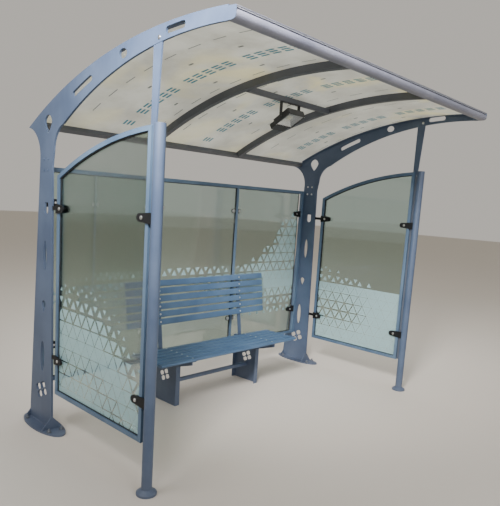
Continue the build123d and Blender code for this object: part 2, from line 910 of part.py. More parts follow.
# Floodlight: a shallow case that turns on two bolts, with a gear box behind its lens
lamp_angle = radians(lamp_tilt)
lamp_plane = Plane(
    origin=(0, cross_rail_y - depth_mid, pivot_z),
    x_dir=(1, 0, 0),
    z_dir=(0, -cos(lamp_angle), -sin(lamp_angle)),
)
with BuildPart() as lamp:
    with BuildSketch(lamp_plane.offset(-lamp_back)):
        RectangleRounded(lamp_width, lamp_height, 8)
    extrude(amount=lamp_deep)
    with BuildSketch(lamp_plane.offset(-lamp_back)):
        with Locations((0, -(lamp_height + gear_high) / 2)):
            RectangleRounded(gear_wide, gear_high, 6)
        with Locations((0, -lamp_height / 2)):
            Rectangle(gear_wide - 2 * gear_neck, gear_neck)
    extrude(amount=gear_deep)
    with BuildSketch(side_plane(0)):
        with Locations((cross_rail_y, pivot_z)):
            Circle(boss_radius)
    extrude(amount=strap_inner - seat_gap, both=True)
    with BuildSketch(side_plane(0)):
        with Locations((cross_rail_y, pivot_z)):
            Circle(pivot_radius)
    extrude(amount=strap_outer + seat_gap, both=True)
    with BuildSketch(lamp_plane.offset(lamp_deep - lamp_back)):
        RectangleRounded(lamp_width - 2 * lamp_rim, lamp_height - 2 * lamp_rim, 4)
    extrude(amount=-lamp_deep + lamp_floor, mode=Mode.SUBTRACT)
save(lamp, "floodlight_case")

with BuildPart() as lens:
    with BuildSketch(lamp_plane.offset(lamp_deep - lamp_back - lens_thick - lens_recess)):
        trim = 2 * (lamp_rim + seat_gap)
        RectangleRounded(lamp_width - trim, lamp_height - trim, 4)
    extrude(amount=lens_thick)
save(lens, "floodlight_lens")
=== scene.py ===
# %% [markdown]
# # A bus shelter, from bare solids to a finished picture
#
# The shelter stands on two curved steel plates. They carry an arched plastic roof, two glass side
# panels and a glass rear wall, and a bench stands under it. The solids arrive ready-made and to
# size. This lesson gives them their paint, glass and plastic, and adds the small things that a solid
# model leaves out: film on the glass, bolts, rubber, screws, welds and a lamp with something in it.
#
# Everything is in metres. X runs along the shelter, Y from the open front to the rear wall, Z up.

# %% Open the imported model
import json
import math

import bmesh
import bpy
from mathutils import Matrix, Vector


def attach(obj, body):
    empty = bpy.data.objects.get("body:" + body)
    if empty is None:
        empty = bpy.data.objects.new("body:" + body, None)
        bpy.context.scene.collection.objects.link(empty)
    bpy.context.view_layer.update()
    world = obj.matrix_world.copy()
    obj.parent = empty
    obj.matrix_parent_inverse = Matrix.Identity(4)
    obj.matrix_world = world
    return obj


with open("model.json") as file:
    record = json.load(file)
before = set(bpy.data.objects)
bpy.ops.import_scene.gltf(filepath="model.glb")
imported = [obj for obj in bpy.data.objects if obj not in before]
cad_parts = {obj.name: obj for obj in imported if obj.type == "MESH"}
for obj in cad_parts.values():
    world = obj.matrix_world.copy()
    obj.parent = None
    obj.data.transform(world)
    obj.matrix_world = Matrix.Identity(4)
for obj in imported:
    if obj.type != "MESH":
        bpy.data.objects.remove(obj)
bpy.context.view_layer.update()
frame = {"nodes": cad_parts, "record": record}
nodes = frame["nodes"]

# %% [markdown]
# ## Small helpers
#
# Paint charts give colours as sRGB codes, but shaders count in linear light, so one function
# turns the one into the other. Shaders and Geometry Nodes are both trees of nodes, so one function
# that adds a node, sets it and plugs it in serves them all. Every material starts the same way, and
# every shape built in mesh code ends the same way, so each of these has a function too.

# %% Helpers for colours and nodes
MM = 0.001
BLEND, FIRST, SECOND, MIXED = 0, 6, 7, 2  # a Mix node's colour sockets: how much, from, to, result


def linear(code):
    """An sRGB hex code as the linear colour a shader works with."""
    parts = [int(code[i : i + 2], 16) / 255 for i in (1, 3, 5)]
    return tuple(p / 12.92 if p <= 0.04045 else ((p + 0.055) / 1.055) ** 2.4 for p in parts) + (1.0,)


def add_node(tree, kind, settings=None, links=None):
    """Adds a node. Lower-case settings are its properties, the others its inputs. Links plug its inputs."""
    node = tree.nodes.new(kind)
    for key, value in (settings or {}).items():
        if isinstance(key, str) and key[0].islower():
            setattr(node, key, value)
        else:
            node.inputs[key].default_value = value
    for key, source in (links or {}).items():
        tree.links.new(source, node.inputs[key])
    return node


print("slate blue in linear light:", [round(v, 3) for v in linear("#3D4C63")])


# %% Helpers for materials and meshes
def start_material(name, settings):
    """A new material with its shader set. Returns it, its tree and the shader's sockets."""
    material = bpy.data.materials.new(name)
    material.use_nodes = True
    tree = material.node_tree
    sockets = tree.nodes["Principled BSDF"].inputs
    for label, value in settings.items():
        sockets[label].default_value = value
    return material, tree, sockets


def mesh_of(shape, name, *materials):
    """The mesh of a finished shape, with its faces turned outwards."""
    bmesh.ops.recalc_face_normals(shape, faces=shape.faces[:])
    mesh = bpy.data.meshes.new(name)
    shape.to_mesh(mesh)
    shape.free()
    for material in materials:
        mesh.materials.append(material)
    return mesh


def thicken(shape, faces, way, keep):
    """Draws flat faces out along a way, and keeps the first ones as an underside where asked to."""
    grown = bmesh.ops.extrude_face_region(shape, geom=faces, use_keep_orig=keep)["geom"]
    moved = [item for item in grown if isinstance(item, bmesh.types.BMVert)]
    bmesh.ops.translate(shape, verts=moved, vec=way)


print("helpers ready, a metre is", round(1 / MM), "mm")

# %% [markdown]
# ## The camera
#
# The picture was taken from a little left of the open front, at standing eye height, slightly
# tilted. The place, direction, tilt and lens below were solved from the edges of the shelter in it.

# %% Camera
EYE = Vector((-3.3335, -2.899, 1.709))
YAW, PITCH, ROLL = (math.radians(a) for a in (46.83, 8.3, 3.6))
FOCAL_PIXELS = 547.9
PICTURE = (500, 506)
PRINCIPAL = (245.5, 283.3)
SENSOR_WIDTH = 36

ahead = Vector((math.sin(YAW) * math.cos(PITCH), math.cos(YAW) * math.cos(PITCH), -math.sin(PITCH)))
level = Vector((math.cos(YAW), -math.sin(YAW), 0))
upward = level.cross(ahead)
right = math.cos(ROLL) * level + math.sin(ROLL) * upward
up = -math.sin(ROLL) * level + math.cos(ROLL) * upward
lens_data = bpy.data.cameras.new("camera")
camera = bpy.data.objects.new("camera", lens_data)
bpy.context.collection.objects.link(camera)
camera.matrix_world = Matrix.Translation(EYE) @ Matrix((right, up, -ahead)).transposed().to_4x4()
longest = max(PICTURE)
lens_data.sensor_width = SENSOR_WIDTH
lens_data.lens = FOCAL_PIXELS * lens_data.sensor_width / longest
lens_data.shift_x = (PICTURE[0] / 2 - PRINCIPAL[0]) / longest
lens_data.shift_y = (PRINCIPAL[1] - PICTURE[1] / 2) / longest
bpy.context.scene.camera = camera
print("lens", round(lens_data.lens, 2), "mm, shift", round(lens_data.shift_x, 4), round(lens_data.shift_y, 4))

# %% [markdown]
# ## Floor and light
#
# A pale floor that fades into a pale world keeps the eye on the shelter. A large soft lamp high on
# the left gives the bright side of the left plates and leaves the right ones in shade, as in the
# picture. A small lamp with a narrow beam brightens the front end of the left arch. The opal roof
# glows because light comes through it from above.

# %% Floor
FLOOR_REACH = 40.0
floor_mesh = bpy.data.meshes.new("studio_floor")
shape = bmesh.new()
bmesh.ops.create_grid(shape, x_segments=1, y_segments=1, size=FLOOR_REACH)
shape.to_mesh(floor_mesh)
shape.free()
floor = bpy.data.objects.new("studio_floor", floor_mesh)
bpy.context.collection.objects.link(floor)
plaster = start_material("pale_plaster_floor", {"Base Color": linear("#CCC5BA"), "Roughness": 0.85})[0]
floor_mesh.materials.append(plaster)
print("the floor reaches", FLOOR_REACH, "m each way")

# %% World and lamps
world = bpy.data.worlds.new("studio")
world.use_nodes = True
background = world.node_tree.nodes["Background"].inputs
background["Color"].default_value = linear("#DCD7CF")
background["Strength"].default_value = 0.75
bpy.context.scene.world = world
bpy.context.scene.view_settings.view_transform = "AgX"


def soft_lamp(name, place, target, size, watts, tint, spread=180):
    """A square lamp that looks at a target, with its beam narrowed to a spread in degrees."""
    data = bpy.data.lights.new(name, "AREA")
    data.shape = "SQUARE"
    data.size = size
    data.energy = watts
    data.spread = math.radians(spread)
    data.color = linear(tint)[:3]
    lamp = bpy.data.objects.new(name, data)
    bpy.context.collection.objects.link(lamp)
    lamp.location = place
    lamp.rotation_euler = (Vector(target) - Vector(place)).to_track_quat("-Z", "Y").to_euler()


MIDDLE = (0.0, 0.2, 1.2)
LEFT_ARCH_NOSE = (-1.5, -0.75, 2.75)
soft_lamp("key_left", (-6.5, 1.0, 5.0), MIDDLE, 4.0, 180, "#F8F8FF")
soft_lamp("sky_front", (-3.4, -1.9, 3.8), LEFT_ARCH_NOSE, 1.0, 95, "#FBF8FA", spread=60)
soft_lamp("fill_front", (-1.0, -7.0, 3.5), MIDDLE, 5.0, 230, "#F4F6FF")
soft_lamp("sky_top", (0.5, 1.0, 8.0), MIDDLE, 6.0, 330, "#F6FAFF")

# %% [markdown]
# ## Powder-coated steel
#
# The frame is steel with a satin powder coat. The powder melts into a skin with a fine orange peel,
# a few millimetres across, which breaks up its highlights. Outdoors the coat chalks in soft clouds,
# rain draws faint upright streaks, and dust from the ground settles on the lowest 28 centimetres.
# The same recipe with other colours serves the roof frame, the beams, the bench and the dark lamp.
# The roof frame wears the frame's own paint, and its darker, greyer copy here is painted shade.

# %% Powder coat
# How many fit in a metre: clouds of 30 cm, streaks 26 mm wide and 60 cm long, and dust in patches of
# 4 cm. Real dust is finer, but wouldn't show in the picture.
CLOUDS, STREAKS, GRIT = 3.2, (38.0, 38.0, 1.6), 26.0
DUST, DUST_MOST, DUST_HIGH = "#B9AB98", 0.08, 0.28
PEEL_DEPTH = 0.15


def powder_coat(name, fresh, chalked, roughness, peel):
    """Satin powder coat: fresh and chalked clouds, orange peel in mm, rain streaks, dust near the floor."""
    material, tree, sockets = start_material(name, {"IOR": 1.5})
    place = add_node(tree, "ShaderNodeTexCoord").outputs["Object"]
    clouds = add_node(
        tree, "ShaderNodeTexNoise", {"Scale": CLOUDS, "Detail": 5.0, "Roughness": 0.55}, {"Vector": place}
    )
    spread = add_node(
        tree, "ShaderNodeMapRange", {"From Min": 0.36, "From Max": 0.66}, {"Value": clouds.outputs["Fac"]}
    )
    base = add_node(
        tree,
        "ShaderNodeMix",
        {"data_type": "RGBA", FIRST: linear(fresh), SECOND: linear(chalked)},
        {BLEND: spread.outputs["Result"]},
    )
    upright = add_node(tree, "ShaderNodeMapping", {"Scale": STREAKS}, {"Vector": place})
    streaks = add_node(
        tree, "ShaderNodeTexNoise", {"Scale": 1.0, "Detail": 3.0}, {"Vector": upright.outputs["Vector"]}
    )
    runs = add_node(
        tree,
        "ShaderNodeMapRange",
        {"From Min": 0.52, "From Max": 0.78, "To Max": 0.35},
        {"Value": streaks.outputs["Fac"]},
    )
    worn = add_node(
        tree,
        "ShaderNodeMix",
        {"data_type": "RGBA", SECOND: linear(chalked)},
        {BLEND: runs.outputs["Result"], FIRST: base.outputs[MIXED]},
    )
    height = add_node(tree, "ShaderNodeSeparateXYZ", links={"Vector": place})
    near = add_node(
        tree,
        "ShaderNodeMapRange",
        {"From Min": 0.0, "From Max": DUST_HIGH, "To Min": DUST_MOST, "To Max": 0.0},
        {"Value": height.outputs["Z"]},
    )
    grit = add_node(
        tree, "ShaderNodeTexNoise", {"Scale": GRIT, "Detail": 6.0, "Roughness": 0.7}, {"Vector": place}
    )
    settled = add_node(
        tree, "ShaderNodeMath", {"operation": "MULTIPLY"}, {0: near.outputs["Result"], 1: grit.outputs["Fac"]}
    )
    dusty = add_node(
        tree,
        "ShaderNodeMix",
        {"data_type": "RGBA", SECOND: linear(DUST)},
        {BLEND: settled.outputs[0], FIRST: worn.outputs[MIXED]},
    )
    tree.links.new(dusty.outputs[MIXED], sockets["Base Color"])
    dull = add_node(
        tree,
        "ShaderNodeMapRange",
        {"To Min": roughness - 0.06, "To Max": roughness + 0.12},
        {"Value": clouds.outputs["Fac"]},
    )
    tree.links.new(dull.outputs["Result"], sockets["Roughness"])
    cells = add_node(tree, "ShaderNodeTexNoise", {"Scale": 1 / (peel * MM), "Detail": 1.0}, {"Vector": place})
    bump = add_node(
        tree,
        "ShaderNodeBump",
        {"Strength": 0.35, "Distance": PEEL_DEPTH * MM},
        {"Height": cells.outputs["Fac"]},
    )
    tree.links.new(bump.outputs["Normal"], sockets["Normal"])
    return material


frame_coat = powder_coat("powder_coat_slate_blue", "#3D4C63", "#4C5B71", 0.42, 3.0)
beam_coat = powder_coat("powder_coat_lilac_grey", "#6A6D7C", "#858794", 0.38, 3.0)
# Painted shade: the roof frame has the frame's slate blue paint, made darker and greyer here so that the ribs
# and rails look shaded under the roof.
roof_frame_shade_coat = powder_coat("powder_coat_slate_darkened_as_painted_shade", "#494D55", "#575B62", 0.45, 3.0)
panel_coat = powder_coat("powder_coat_mist_grey", "#42586F", "#566C81", 0.42, 3.0)
bench_coat = powder_coat("powder_coat_deep_blue", "#3D5774", "#4D6783", 0.4, 3.0)
lamp_coat = powder_coat("textured_coat_graphite", "#26272A", "#3A3B3D", 0.5, 1.6)
print("six powder coats of", len(frame_coat.node_tree.nodes), "nodes each")

# %% [markdown]
# ## Toughened glass
#
# Float glass is clear face on and green through its thickness, from the iron in the sand. A pane
# out of doors also carries a faint dry bloom, which is what makes it visible against a pale room.
# Traced refraction keeps lamps from lighting what lies behind a pane, so an alpha below one lets
# part of the light straight through, as real glass does.

# %% Glass
GLASS = {"Base Color": linear("#9FBAB1"), "Transmission Weight": 1.0, "IOR": 1.5, "Alpha": 0.7}
glass, glass_tree, glass_sockets = start_material("toughened_float_glass", GLASS)
glass_place = add_node(glass_tree, "ShaderNodeTexCoord").outputs["Object"]
bloom = add_node(glass_tree, "ShaderNodeTexNoise", {"Scale": 5.0, "Detail": 4.0}, {"Vector": glass_place})
haze = add_node(
    glass_tree, "ShaderNodeMapRange", {"To Min": 0.02, "To Max": 0.08}, {"Value": bloom.outputs["Fac"]}
)
glass_tree.links.new(haze.outputs["Result"], glass_sockets["Roughness"])
print("glass, with a bloom in patches of 20 cm")

# %% [markdown]
# ## The roof skin
#
# The roof is opal twin-wall polycarbonate, still under the protective film that it was sold in.
# The film is wrinkled and blotchy. Its pale yellow patches, most of all near the front, are painted
# sun glow: a painted highlight where sunlight shines through the sheet. The sheet is hollow, with webs
# every couple of centimetres that run with the arch, and these show as faint lines when the sky is
# behind it. Daylight that soaks through the sheet makes it glow.
# Tracing that light through two walls is slow and grainy, so a weak emission in the sheet's own
# colour stands for it.

# %% Colour of the roof skin
SKIN = {"Roughness": 0.45, "Transmission Weight": 0.35, "IOR": 1.58, "Emission Strength": 0.34}
skin, skin_tree, skin_sockets = start_material("opal_polycarbonate_under_film", SKIN)
skin_place = add_node(skin_tree, "ShaderNodeTexCoord").outputs["Object"]
skin_axes = add_node(skin_tree, "ShaderNodeSeparateXYZ", links={"Vector": skin_place})
blotches = add_node(
    skin_tree, "ShaderNodeTexNoise", {"Scale": 3.4, "Detail": 6.0, "Roughness": 0.6}, {"Vector": skin_place}
)
blotch_range = add_node(
    skin_tree, "ShaderNodeMapRange", {"From Min": 0.38, "From Max": 0.66}, {"Value": blotches.outputs["Fac"]}
)
blotchy = add_node(
    skin_tree,
    "ShaderNodeMix",
    {"data_type": "RGBA", FIRST: linear("#D0D0C8"), SECOND: linear("#B9B8AE")},
    {BLEND: blotch_range.outputs["Result"]},
)
# Pale yellow patches, strongest near the front, are painted sun glow: a painted highlight, not a stain in the
# film. They also feed the emission, so they glow.
sun_glow_noise = add_node(
    skin_tree, "ShaderNodeTexNoise", {"Scale": 1.7, "Detail": 3.0, "Distortion": 0.8}, {"Vector": skin_place}
)
sun_glow_range = add_node(
    skin_tree, "ShaderNodeMapRange", {"From Min": 0.5, "From Max": 0.66}, {"Value": sun_glow_noise.outputs["Fac"]}
)
front_glow_share = add_node(
    skin_tree,
    "ShaderNodeMapRange",
    {"From Min": -0.75, "From Max": 0.1, "To Min": 0.85, "To Max": 0.3},
    {"Value": skin_axes.outputs["Y"]},
)
painted_sun_glow = add_node(
    skin_tree,
    "ShaderNodeMath",
    {"operation": "MULTIPLY"},
    {0: sun_glow_range.outputs["Result"], 1: front_glow_share.outputs["Result"]},
)
skin_colour = add_node(
    skin_tree,
    "ShaderNodeMix",
    {"data_type": "RGBA", SECOND: linear("#E8DFAE")},
    {BLEND: painted_sun_glow.outputs[0], FIRST: blotchy.outputs[MIXED]},
)
for label in ("Base Color", "Emission Color"):
    skin_tree.links.new(skin_colour.outputs[MIXED], skin_sockets[label])
# The yellow patches are painted sun glow.
print("opal skin, baked yellow in patches of 60 cm")

# %% Webs and wrinkles of the roof skin
WEB_PITCH = 22 * MM
WEB_TURNS = 2 * math.pi / WEB_PITCH
web_phase = add_node(
    skin_tree, "ShaderNodeMath", {"operation": "MULTIPLY", 1: WEB_TURNS}, {0: skin_axes.outputs["X"]}
)
webs = add_node(skin_tree, "ShaderNodeMath", {"operation": "SINE"}, {0: web_phase.outputs[0]})
wrinkles = add_node(skin_tree, "ShaderNodeTexNoise", {"Scale": 14.0, "Detail": 3.0}, {"Vector": skin_place})
web_height = add_node(
    skin_tree,
    "ShaderNodeMath",
    {"operation": "MULTIPLY_ADD", 1: 0.25},
    {0: webs.outputs[0], 2: wrinkles.outputs["Fac"]},
)
skin_bump = add_node(
    skin_tree, "ShaderNodeBump", {"Strength": 0.4, "Distance": 1.5 * MM}, {"Height": web_height.outputs[0]}
)
skin_tree.links.new(skin_bump.outputs["Normal"], skin_sockets["Normal"])
print("webs every", round(WEB_PITCH / MM), "mm, wrinkles about 70 mm wide")

# %% [markdown]
# ## Small finishes
#
# The clamps are moulded black nylon with a spark texture, which makes them matt. Bolts are stainless
# steel, brushed by wear, and the ground anchors have a dull zinc plating. Seals start as black
# rubber, and those in the sun fade to grey. The film on the glass is etched-look vinyl, white with a
# breath of green. Real grain is finer than a millimetre, so it is drawn as coarse as it needs to be
# to show.

# %% Nylon, steel, rubber, vinyl and lamp glass
TONES = 40.0  # changes of tone in a metre, so one every 25 mm


def plain_finish(name, colour, roughness, metallic=0.0, grain=0.0, depth=0.0, variety=0.12, more=None):
    """A moulded or turned finish: a slight change of tone, and a grain of the given size in millimetres."""
    settings = {"Roughness": roughness, "Metallic": metallic, **(more or {})}
    material, tree, sockets = start_material(name, settings)
    place = add_node(tree, "ShaderNodeTexCoord").outputs["Object"]
    tone = add_node(tree, "ShaderNodeTexNoise", {"Scale": TONES, "Detail": 4.0}, {"Vector": place})
    dark = tuple(c * (1 - variety) for c in linear(colour)[:3]) + (1.0,)
    light = tuple(min(1.0, c * (1 + variety)) for c in linear(colour)[:3]) + (1.0,)
    mix = add_node(
        tree, "ShaderNodeMix", {"data_type": "RGBA", FIRST: dark, SECOND: light}, {BLEND: tone.outputs["Fac"]}
    )
    tree.links.new(mix.outputs[MIXED], sockets["Base Color"])
    if grain:
        cells = add_node(
            tree, "ShaderNodeTexNoise", {"Scale": 1 / (grain * MM), "Detail": 2.0}, {"Vector": place}
        )
        bump = add_node(
            tree,
            "ShaderNodeBump",
            {"Strength": 0.5, "Distance": depth * MM},
            {"Height": cells.outputs["Fac"]},
        )
        tree.links.new(bump.outputs["Normal"], sockets["Normal"])
    return material


nylon = plain_finish(
    "moulded_black_nylon", "#0B0D0F", 0.55, grain=1.2, depth=0.1, more={"Specular IOR Level": 0.3}
)
stainless = plain_finish("brushed_stainless_steel", "#C9CAC8", 0.32, metallic=1.0, grain=0.8, depth=0.05)
zinc = plain_finish(
    "dull_zinc_plated_steel", "#6F757D", 0.55, metallic=0.7, grain=1.5, depth=0.1, variety=0.25
)
groove_strip = plain_finish("chalky_grey_seal_strip", "#85888F", 0.65, grain=2.0, depth=0.1)
faded_rubber = plain_finish("sun_faded_grey_rubber", "#4E5560", 0.7, grain=2.0, depth=0.1, variety=0.15)
rubber = plain_finish("black_epdm_rubber", "#1B1E20", 0.7, grain=1.0, depth=0.1)
vinyl = plain_finish("etched_look_vinyl_film", "#A6C9CD", 0.75, variety=0.05, more={"Alpha": 0.42})
lens_glass = plain_finish(
    "clear_lamp_glass", "#F2F5F5", 0.05, variety=0.02, more={"Transmission Weight": 1.0, "Alpha": 0.3}
)
print(len(bpy.data.materials), "materials")

# %% [markdown]
# ## Give every solid its finish
#
# Each solid carries one material slot from the model. The finish goes into that slot, and the solid
# itself isn't touched.

# %% Dress the solids
FINISHES = {
    "frame_paint": frame_coat,
    "beam_paint": beam_coat,
    "bench_paint": bench_coat,
    "toughened_glass": glass,
    "roof_skin": skin,
    "clamp_black": nylon,
    "lamp_paint": lamp_coat,
    "lamp_glass": lens_glass,
}
ROOF_FRAME = ("left_roof_rib", "right_roof_rib", "roof_cross_rail", "roof_rear_beam")
GLASS_FRAME = ("panel_frame", "rear_top_rail", "rear_bottom_rail", "rear_mullion", "rear_end_posts")
for part in frame["record"]["subparts"]:
    name, solid = part["node"], nodes[part["node"]]
    finish = FINISHES[part["material_slot"]]
    # The roof frame gets the darker copy of the frame paint, as painted shade.
    if name in ROOF_FRAME:
        finish = roof_frame_shade_coat
    elif name.endswith(GLASS_FRAME):
        finish = panel_coat
    for slot_here in solid.material_slots:
        slot_here.material = finish

# %% [markdown]
# ## Trees that repeat a shape
#
# Bolts, film triangles, printed dashes and weld beads are one small shape, over and over. Geometry
# Nodes do that well: a few points say where, and the tree says what. Each tree gets named inputs for
# its sizes. Its result is taken as a plain mesh, and the modifier goes.

# %% Helpers for Geometry Nodes
def start_tree(name, numbers, counts=()):
    """A tree with a geometry, named sizes, named counts and a material as its inputs."""
    tree = bpy.data.node_groups.new(name, "GeometryNodeTree")
    tree.interface.new_socket("Geometry", in_out="OUTPUT", socket_type="NodeSocketGeometry")
    tree.interface.new_socket("Geometry", in_out="INPUT", socket_type="NodeSocketGeometry")
    for label in numbers:
        tree.interface.new_socket(label, in_out="INPUT", socket_type="NodeSocketFloat")
    for label in counts:
        tree.interface.new_socket(label, in_out="INPUT", socket_type="NodeSocketInt")
    tree.interface.new_socket("Material", in_out="INPUT", socket_type="NodeSocketMaterial")
    return tree, tree.nodes.new("NodeGroupInput").outputs


def end_tree(tree, geometry, material):
    """Real mesh in place of the instances, in one material."""
    whole = add_node(tree, "GeometryNodeRealizeInstances", links={"Geometry": geometry})
    dressed = add_node(
        tree, "GeometryNodeSetMaterial", links={"Geometry": whole.outputs[0], "Material": material}
    )
    add_node(tree, "NodeGroupOutput", links={"Geometry": dressed.outputs[0]})
    print("tree", tree.name, "has", len(tree.nodes), "nodes")


def run_tree(tree, base, material, **values):
    """The plain mesh that a tree makes from a base mesh. Inputs are named with _ for a space."""
    carrier = bpy.data.objects.new("carrier", base)
    bpy.context.collection.objects.link(carrier)
    modifier = carrier.modifiers.new("tree", "NODES")
    modifier.node_group = tree
    wanted = {key.replace("_", " "): value for key, value in values.items()}
    wanted["Material"] = material
    for item in tree.interface.items_tree:
        if item.in_out == "INPUT" and item.name in wanted:
            modifier[item.identifier] = wanted[item.name]
    evaluated = carrier.evaluated_get(bpy.context.evaluated_depsgraph_get())
    mesh = bpy.data.meshes.new_from_object(evaluated)
    carrier.modifiers.remove(modifier)
    bpy.data.objects.remove(carrier)
    return mesh


# %% Helpers for points and pieces
def base_mesh(places, runs=(), **fields):
    """Points, and runs of edges between them, that carry named numbers or directions."""
    mesh = bpy.data.meshes.new("base")
    mesh.from_pydata([tuple(p) for p in places], list(runs), [])
    for label, values in fields.items():
        if isinstance(values[0], (int, float)):
            mesh.attributes.new(label, "FLOAT", "POINT").data.foreach_set("value", list(values))
        else:
            flat = [number for value in values for number in value]
            mesh.attributes.new(label, "FLOAT_VECTOR", "POINT").data.foreach_set("vector", flat)
    return mesh


def put(name, mesh, body):
    """A finished piece that rides on a body."""
    piece = bpy.data.objects.new(name, mesh)
    mesh.name = name
    bpy.context.collection.objects.link(piece)
    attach(piece, body)
    print(name, len(mesh.polygons), "faces")


DEPTH_MID = 496  # the record's Y = 0, measured from the line of the front posts
SIDES = (-1, 1)
SIDE_NAMES = ((-1, "left"), (1, "right"))


def at(x, y, z):
    """A place from the shelter's own measures: x from its middle, y from the post line, z from the floor."""
    return Vector((x * MM, (y - DEPTH_MID) * MM, z * MM))


print("the middle of the post line is at", tuple(round(v, 3) for v in at(0, 0, 0)))

# %% [markdown]
# ## Frosted film on the glass
#
# The panes carry etched-look vinyl film, plotted as a plain tiling of equal triangles. Whole triangles
# join to an even frost. Further up each one is cut smaller, so the frost breaks into separate
# triangles and fades out: the glass can be seen in time, and it can still be seen through.
#
# A tree puts a triangle on each point of the tiling and scales it by a number that the point carries.
# Python works that number out from a few lines that say where the frost starts. The flat triangles
# are then trimmed at the frame and get the thickness of film. Noise couldn't do this: the triangles
# have to sit in straight rows.

# %% Tree for one triangle per point
triangles_tree, given = start_tree("film_triangles", ["Side"])
corner_reach = add_node(
    triangles_tree, "ShaderNodeMath", {"operation": "DIVIDE", 1: math.sqrt(3)}, {0: given["Side"]}
)
triangle = add_node(
    triangles_tree,
    "GeometryNodeMeshCircle",
    {"fill_type": "NGON", "Vertices": 3},
    {"Radius": corner_reach.outputs[0]},
)
share = add_node(triangles_tree, "GeometryNodeInputNamedAttribute", {"data_type": "FLOAT", "Name": "share"})
turn = add_node(
    triangles_tree, "GeometryNodeInputNamedAttribute", {"data_type": "FLOAT_VECTOR", "Name": "turn"}
)
tiles = add_node(
    triangles_tree,
    "GeometryNodeInstanceOnPoints",
    links={
        "Points": given["Geometry"],
        "Instance": triangle.outputs["Mesh"],
        "Rotation": turn.outputs["Attribute"],
        "Scale": share.outputs["Attribute"],
    },
)
end_tree(triangles_tree, tiles.outputs[0], given["Material"])

# %% Where the frost lies
# An EDGE, TOP or FOOT gives a height for a place across the pane, both in millimetres. A MOST or a
# FADE gives how much of its place in the tiling a triangle fills, from 0 to 1.
ROW_HIGH = 93
TILE_SIDE = ROW_HIGH * 2 / math.sqrt(3)
FILM_THICK = 0.3
LEAST_SHARE = 0.1

LEFT_EDGE = [(52, 540), (138, 633), (289, 784), (562, 952), (1072, 952)]
LEFT_FADE = [
    (-190, 0), (-150, 0.14), (-30, 0.45), (0, 0.6), (40, 0.72), (110, 0.86),
    (200, 0.975), (300, 0.965), (360, 0.88), (440, 0.82), (520, 0.9), (620, 0.985),
]
RIGHT_EDGE, EVEN_FROST, FIRST_DOT, DOT_DROP = 930, 0.985, 0.52, 0.32
RIGHT_TOP = [(380, 945), (510, 990), (785, 1050), (917, 1100), (1072, 1140)]
RIGHT_FADE = [
    (420, 0.985), (510, 0.9), (590, 0.74), (620, 0.72),
    (690, 0.75), (790, 0.88), (880, 0.965), (930, 0.965),
]
LATTICE_FROM, LATTICE_WIDE = 400, 280
REAR_TOP = [
    (-1420, 1060), (-818, 1085), (-248, 1150), (200, 1120), (462, 1095), (569, 1099),
    (609, 1128), (783, 1163), (1077, 1345), (1141, 1504), (1375, 1669), (1420, 1690),
]
REAR_FOOT = [(-1420, 845), (-818, 860), (-248, 925), (35, 880), (454, 600), (900, 570), (1420, 540)]
REAR_MOST = [(-1420, 0.34), (-454, 0.5), (0, 0.62), (454, 0.9), (900, 0.97)]
REAR_FADE = [
    (540, 0.3), (600, 0.42), (780, 0.66), (800, 0.9), (830, 0.985),
    (980, 0.975), (1010, 0.8), (1110, 0.78), (1160, 0.88), (1700, 0.88),
]
RIM_FADE = [(0, 0.45), (50, 0.62), (120, 0.8), (200, 0.9), (300, 1)]
SOLID_FROM, SOLID_WIDE = 454, 300


def along(line, u):
    """The height of a given line at u, straight between its points."""
    if u <= line[0][0]:
        return line[0][1]
    for (u0, v0), (u1, v1) in zip(line, line[1:]):
        if u <= u1:
            return v0 + (v1 - v0) * (u - u0) / (u1 - u0)
    return line[-1][1]


def left_share(u, v):
    """Left pane: the frost changes with its depth under the edge."""
    return along(LEFT_FADE, along(LEFT_EDGE, u) - v)


def right_share(u, v):
    """Right pane: even near the front, a lattice further back, and rows of shrinking dots on top."""
    if v < RIGHT_EDGE:
        lattice = min(1, max(0, (u - LATTICE_FROM) / LATTICE_WIDE))
        return EVEN_FROST - (EVEN_FROST - along(RIGHT_FADE, v)) * lattice
    dot = FIRST_DOT - DOT_DROP * (v - RIGHT_EDGE) / (2 * ROW_HIGH)
    return dot if v < along(RIGHT_TOP, u) else 0


def rear_share(u, v):
    """Rear wall: a soft band on the left and in the middle that turns into firm frost on the right."""
    foot, top = along(REAR_FOOT, u), along(REAR_TOP, u)
    if not foot < v < top:
        return 0
    height = (v - foot) / (top - foot)
    soft = along(REAR_MOST, u) * (1 - abs(2 * height - 1) ** 3)
    solid = min(along(REAR_FADE, v), along(RIM_FADE, top - v))
    blend = min(1, max(0, (u - SOLID_FROM) / SOLID_WIDE))
    return soft * (1 - blend) + solid * blend


print("triangles", round(TILE_SIDE, 1), "mm wide, in rows", ROW_HIGH, "mm high")


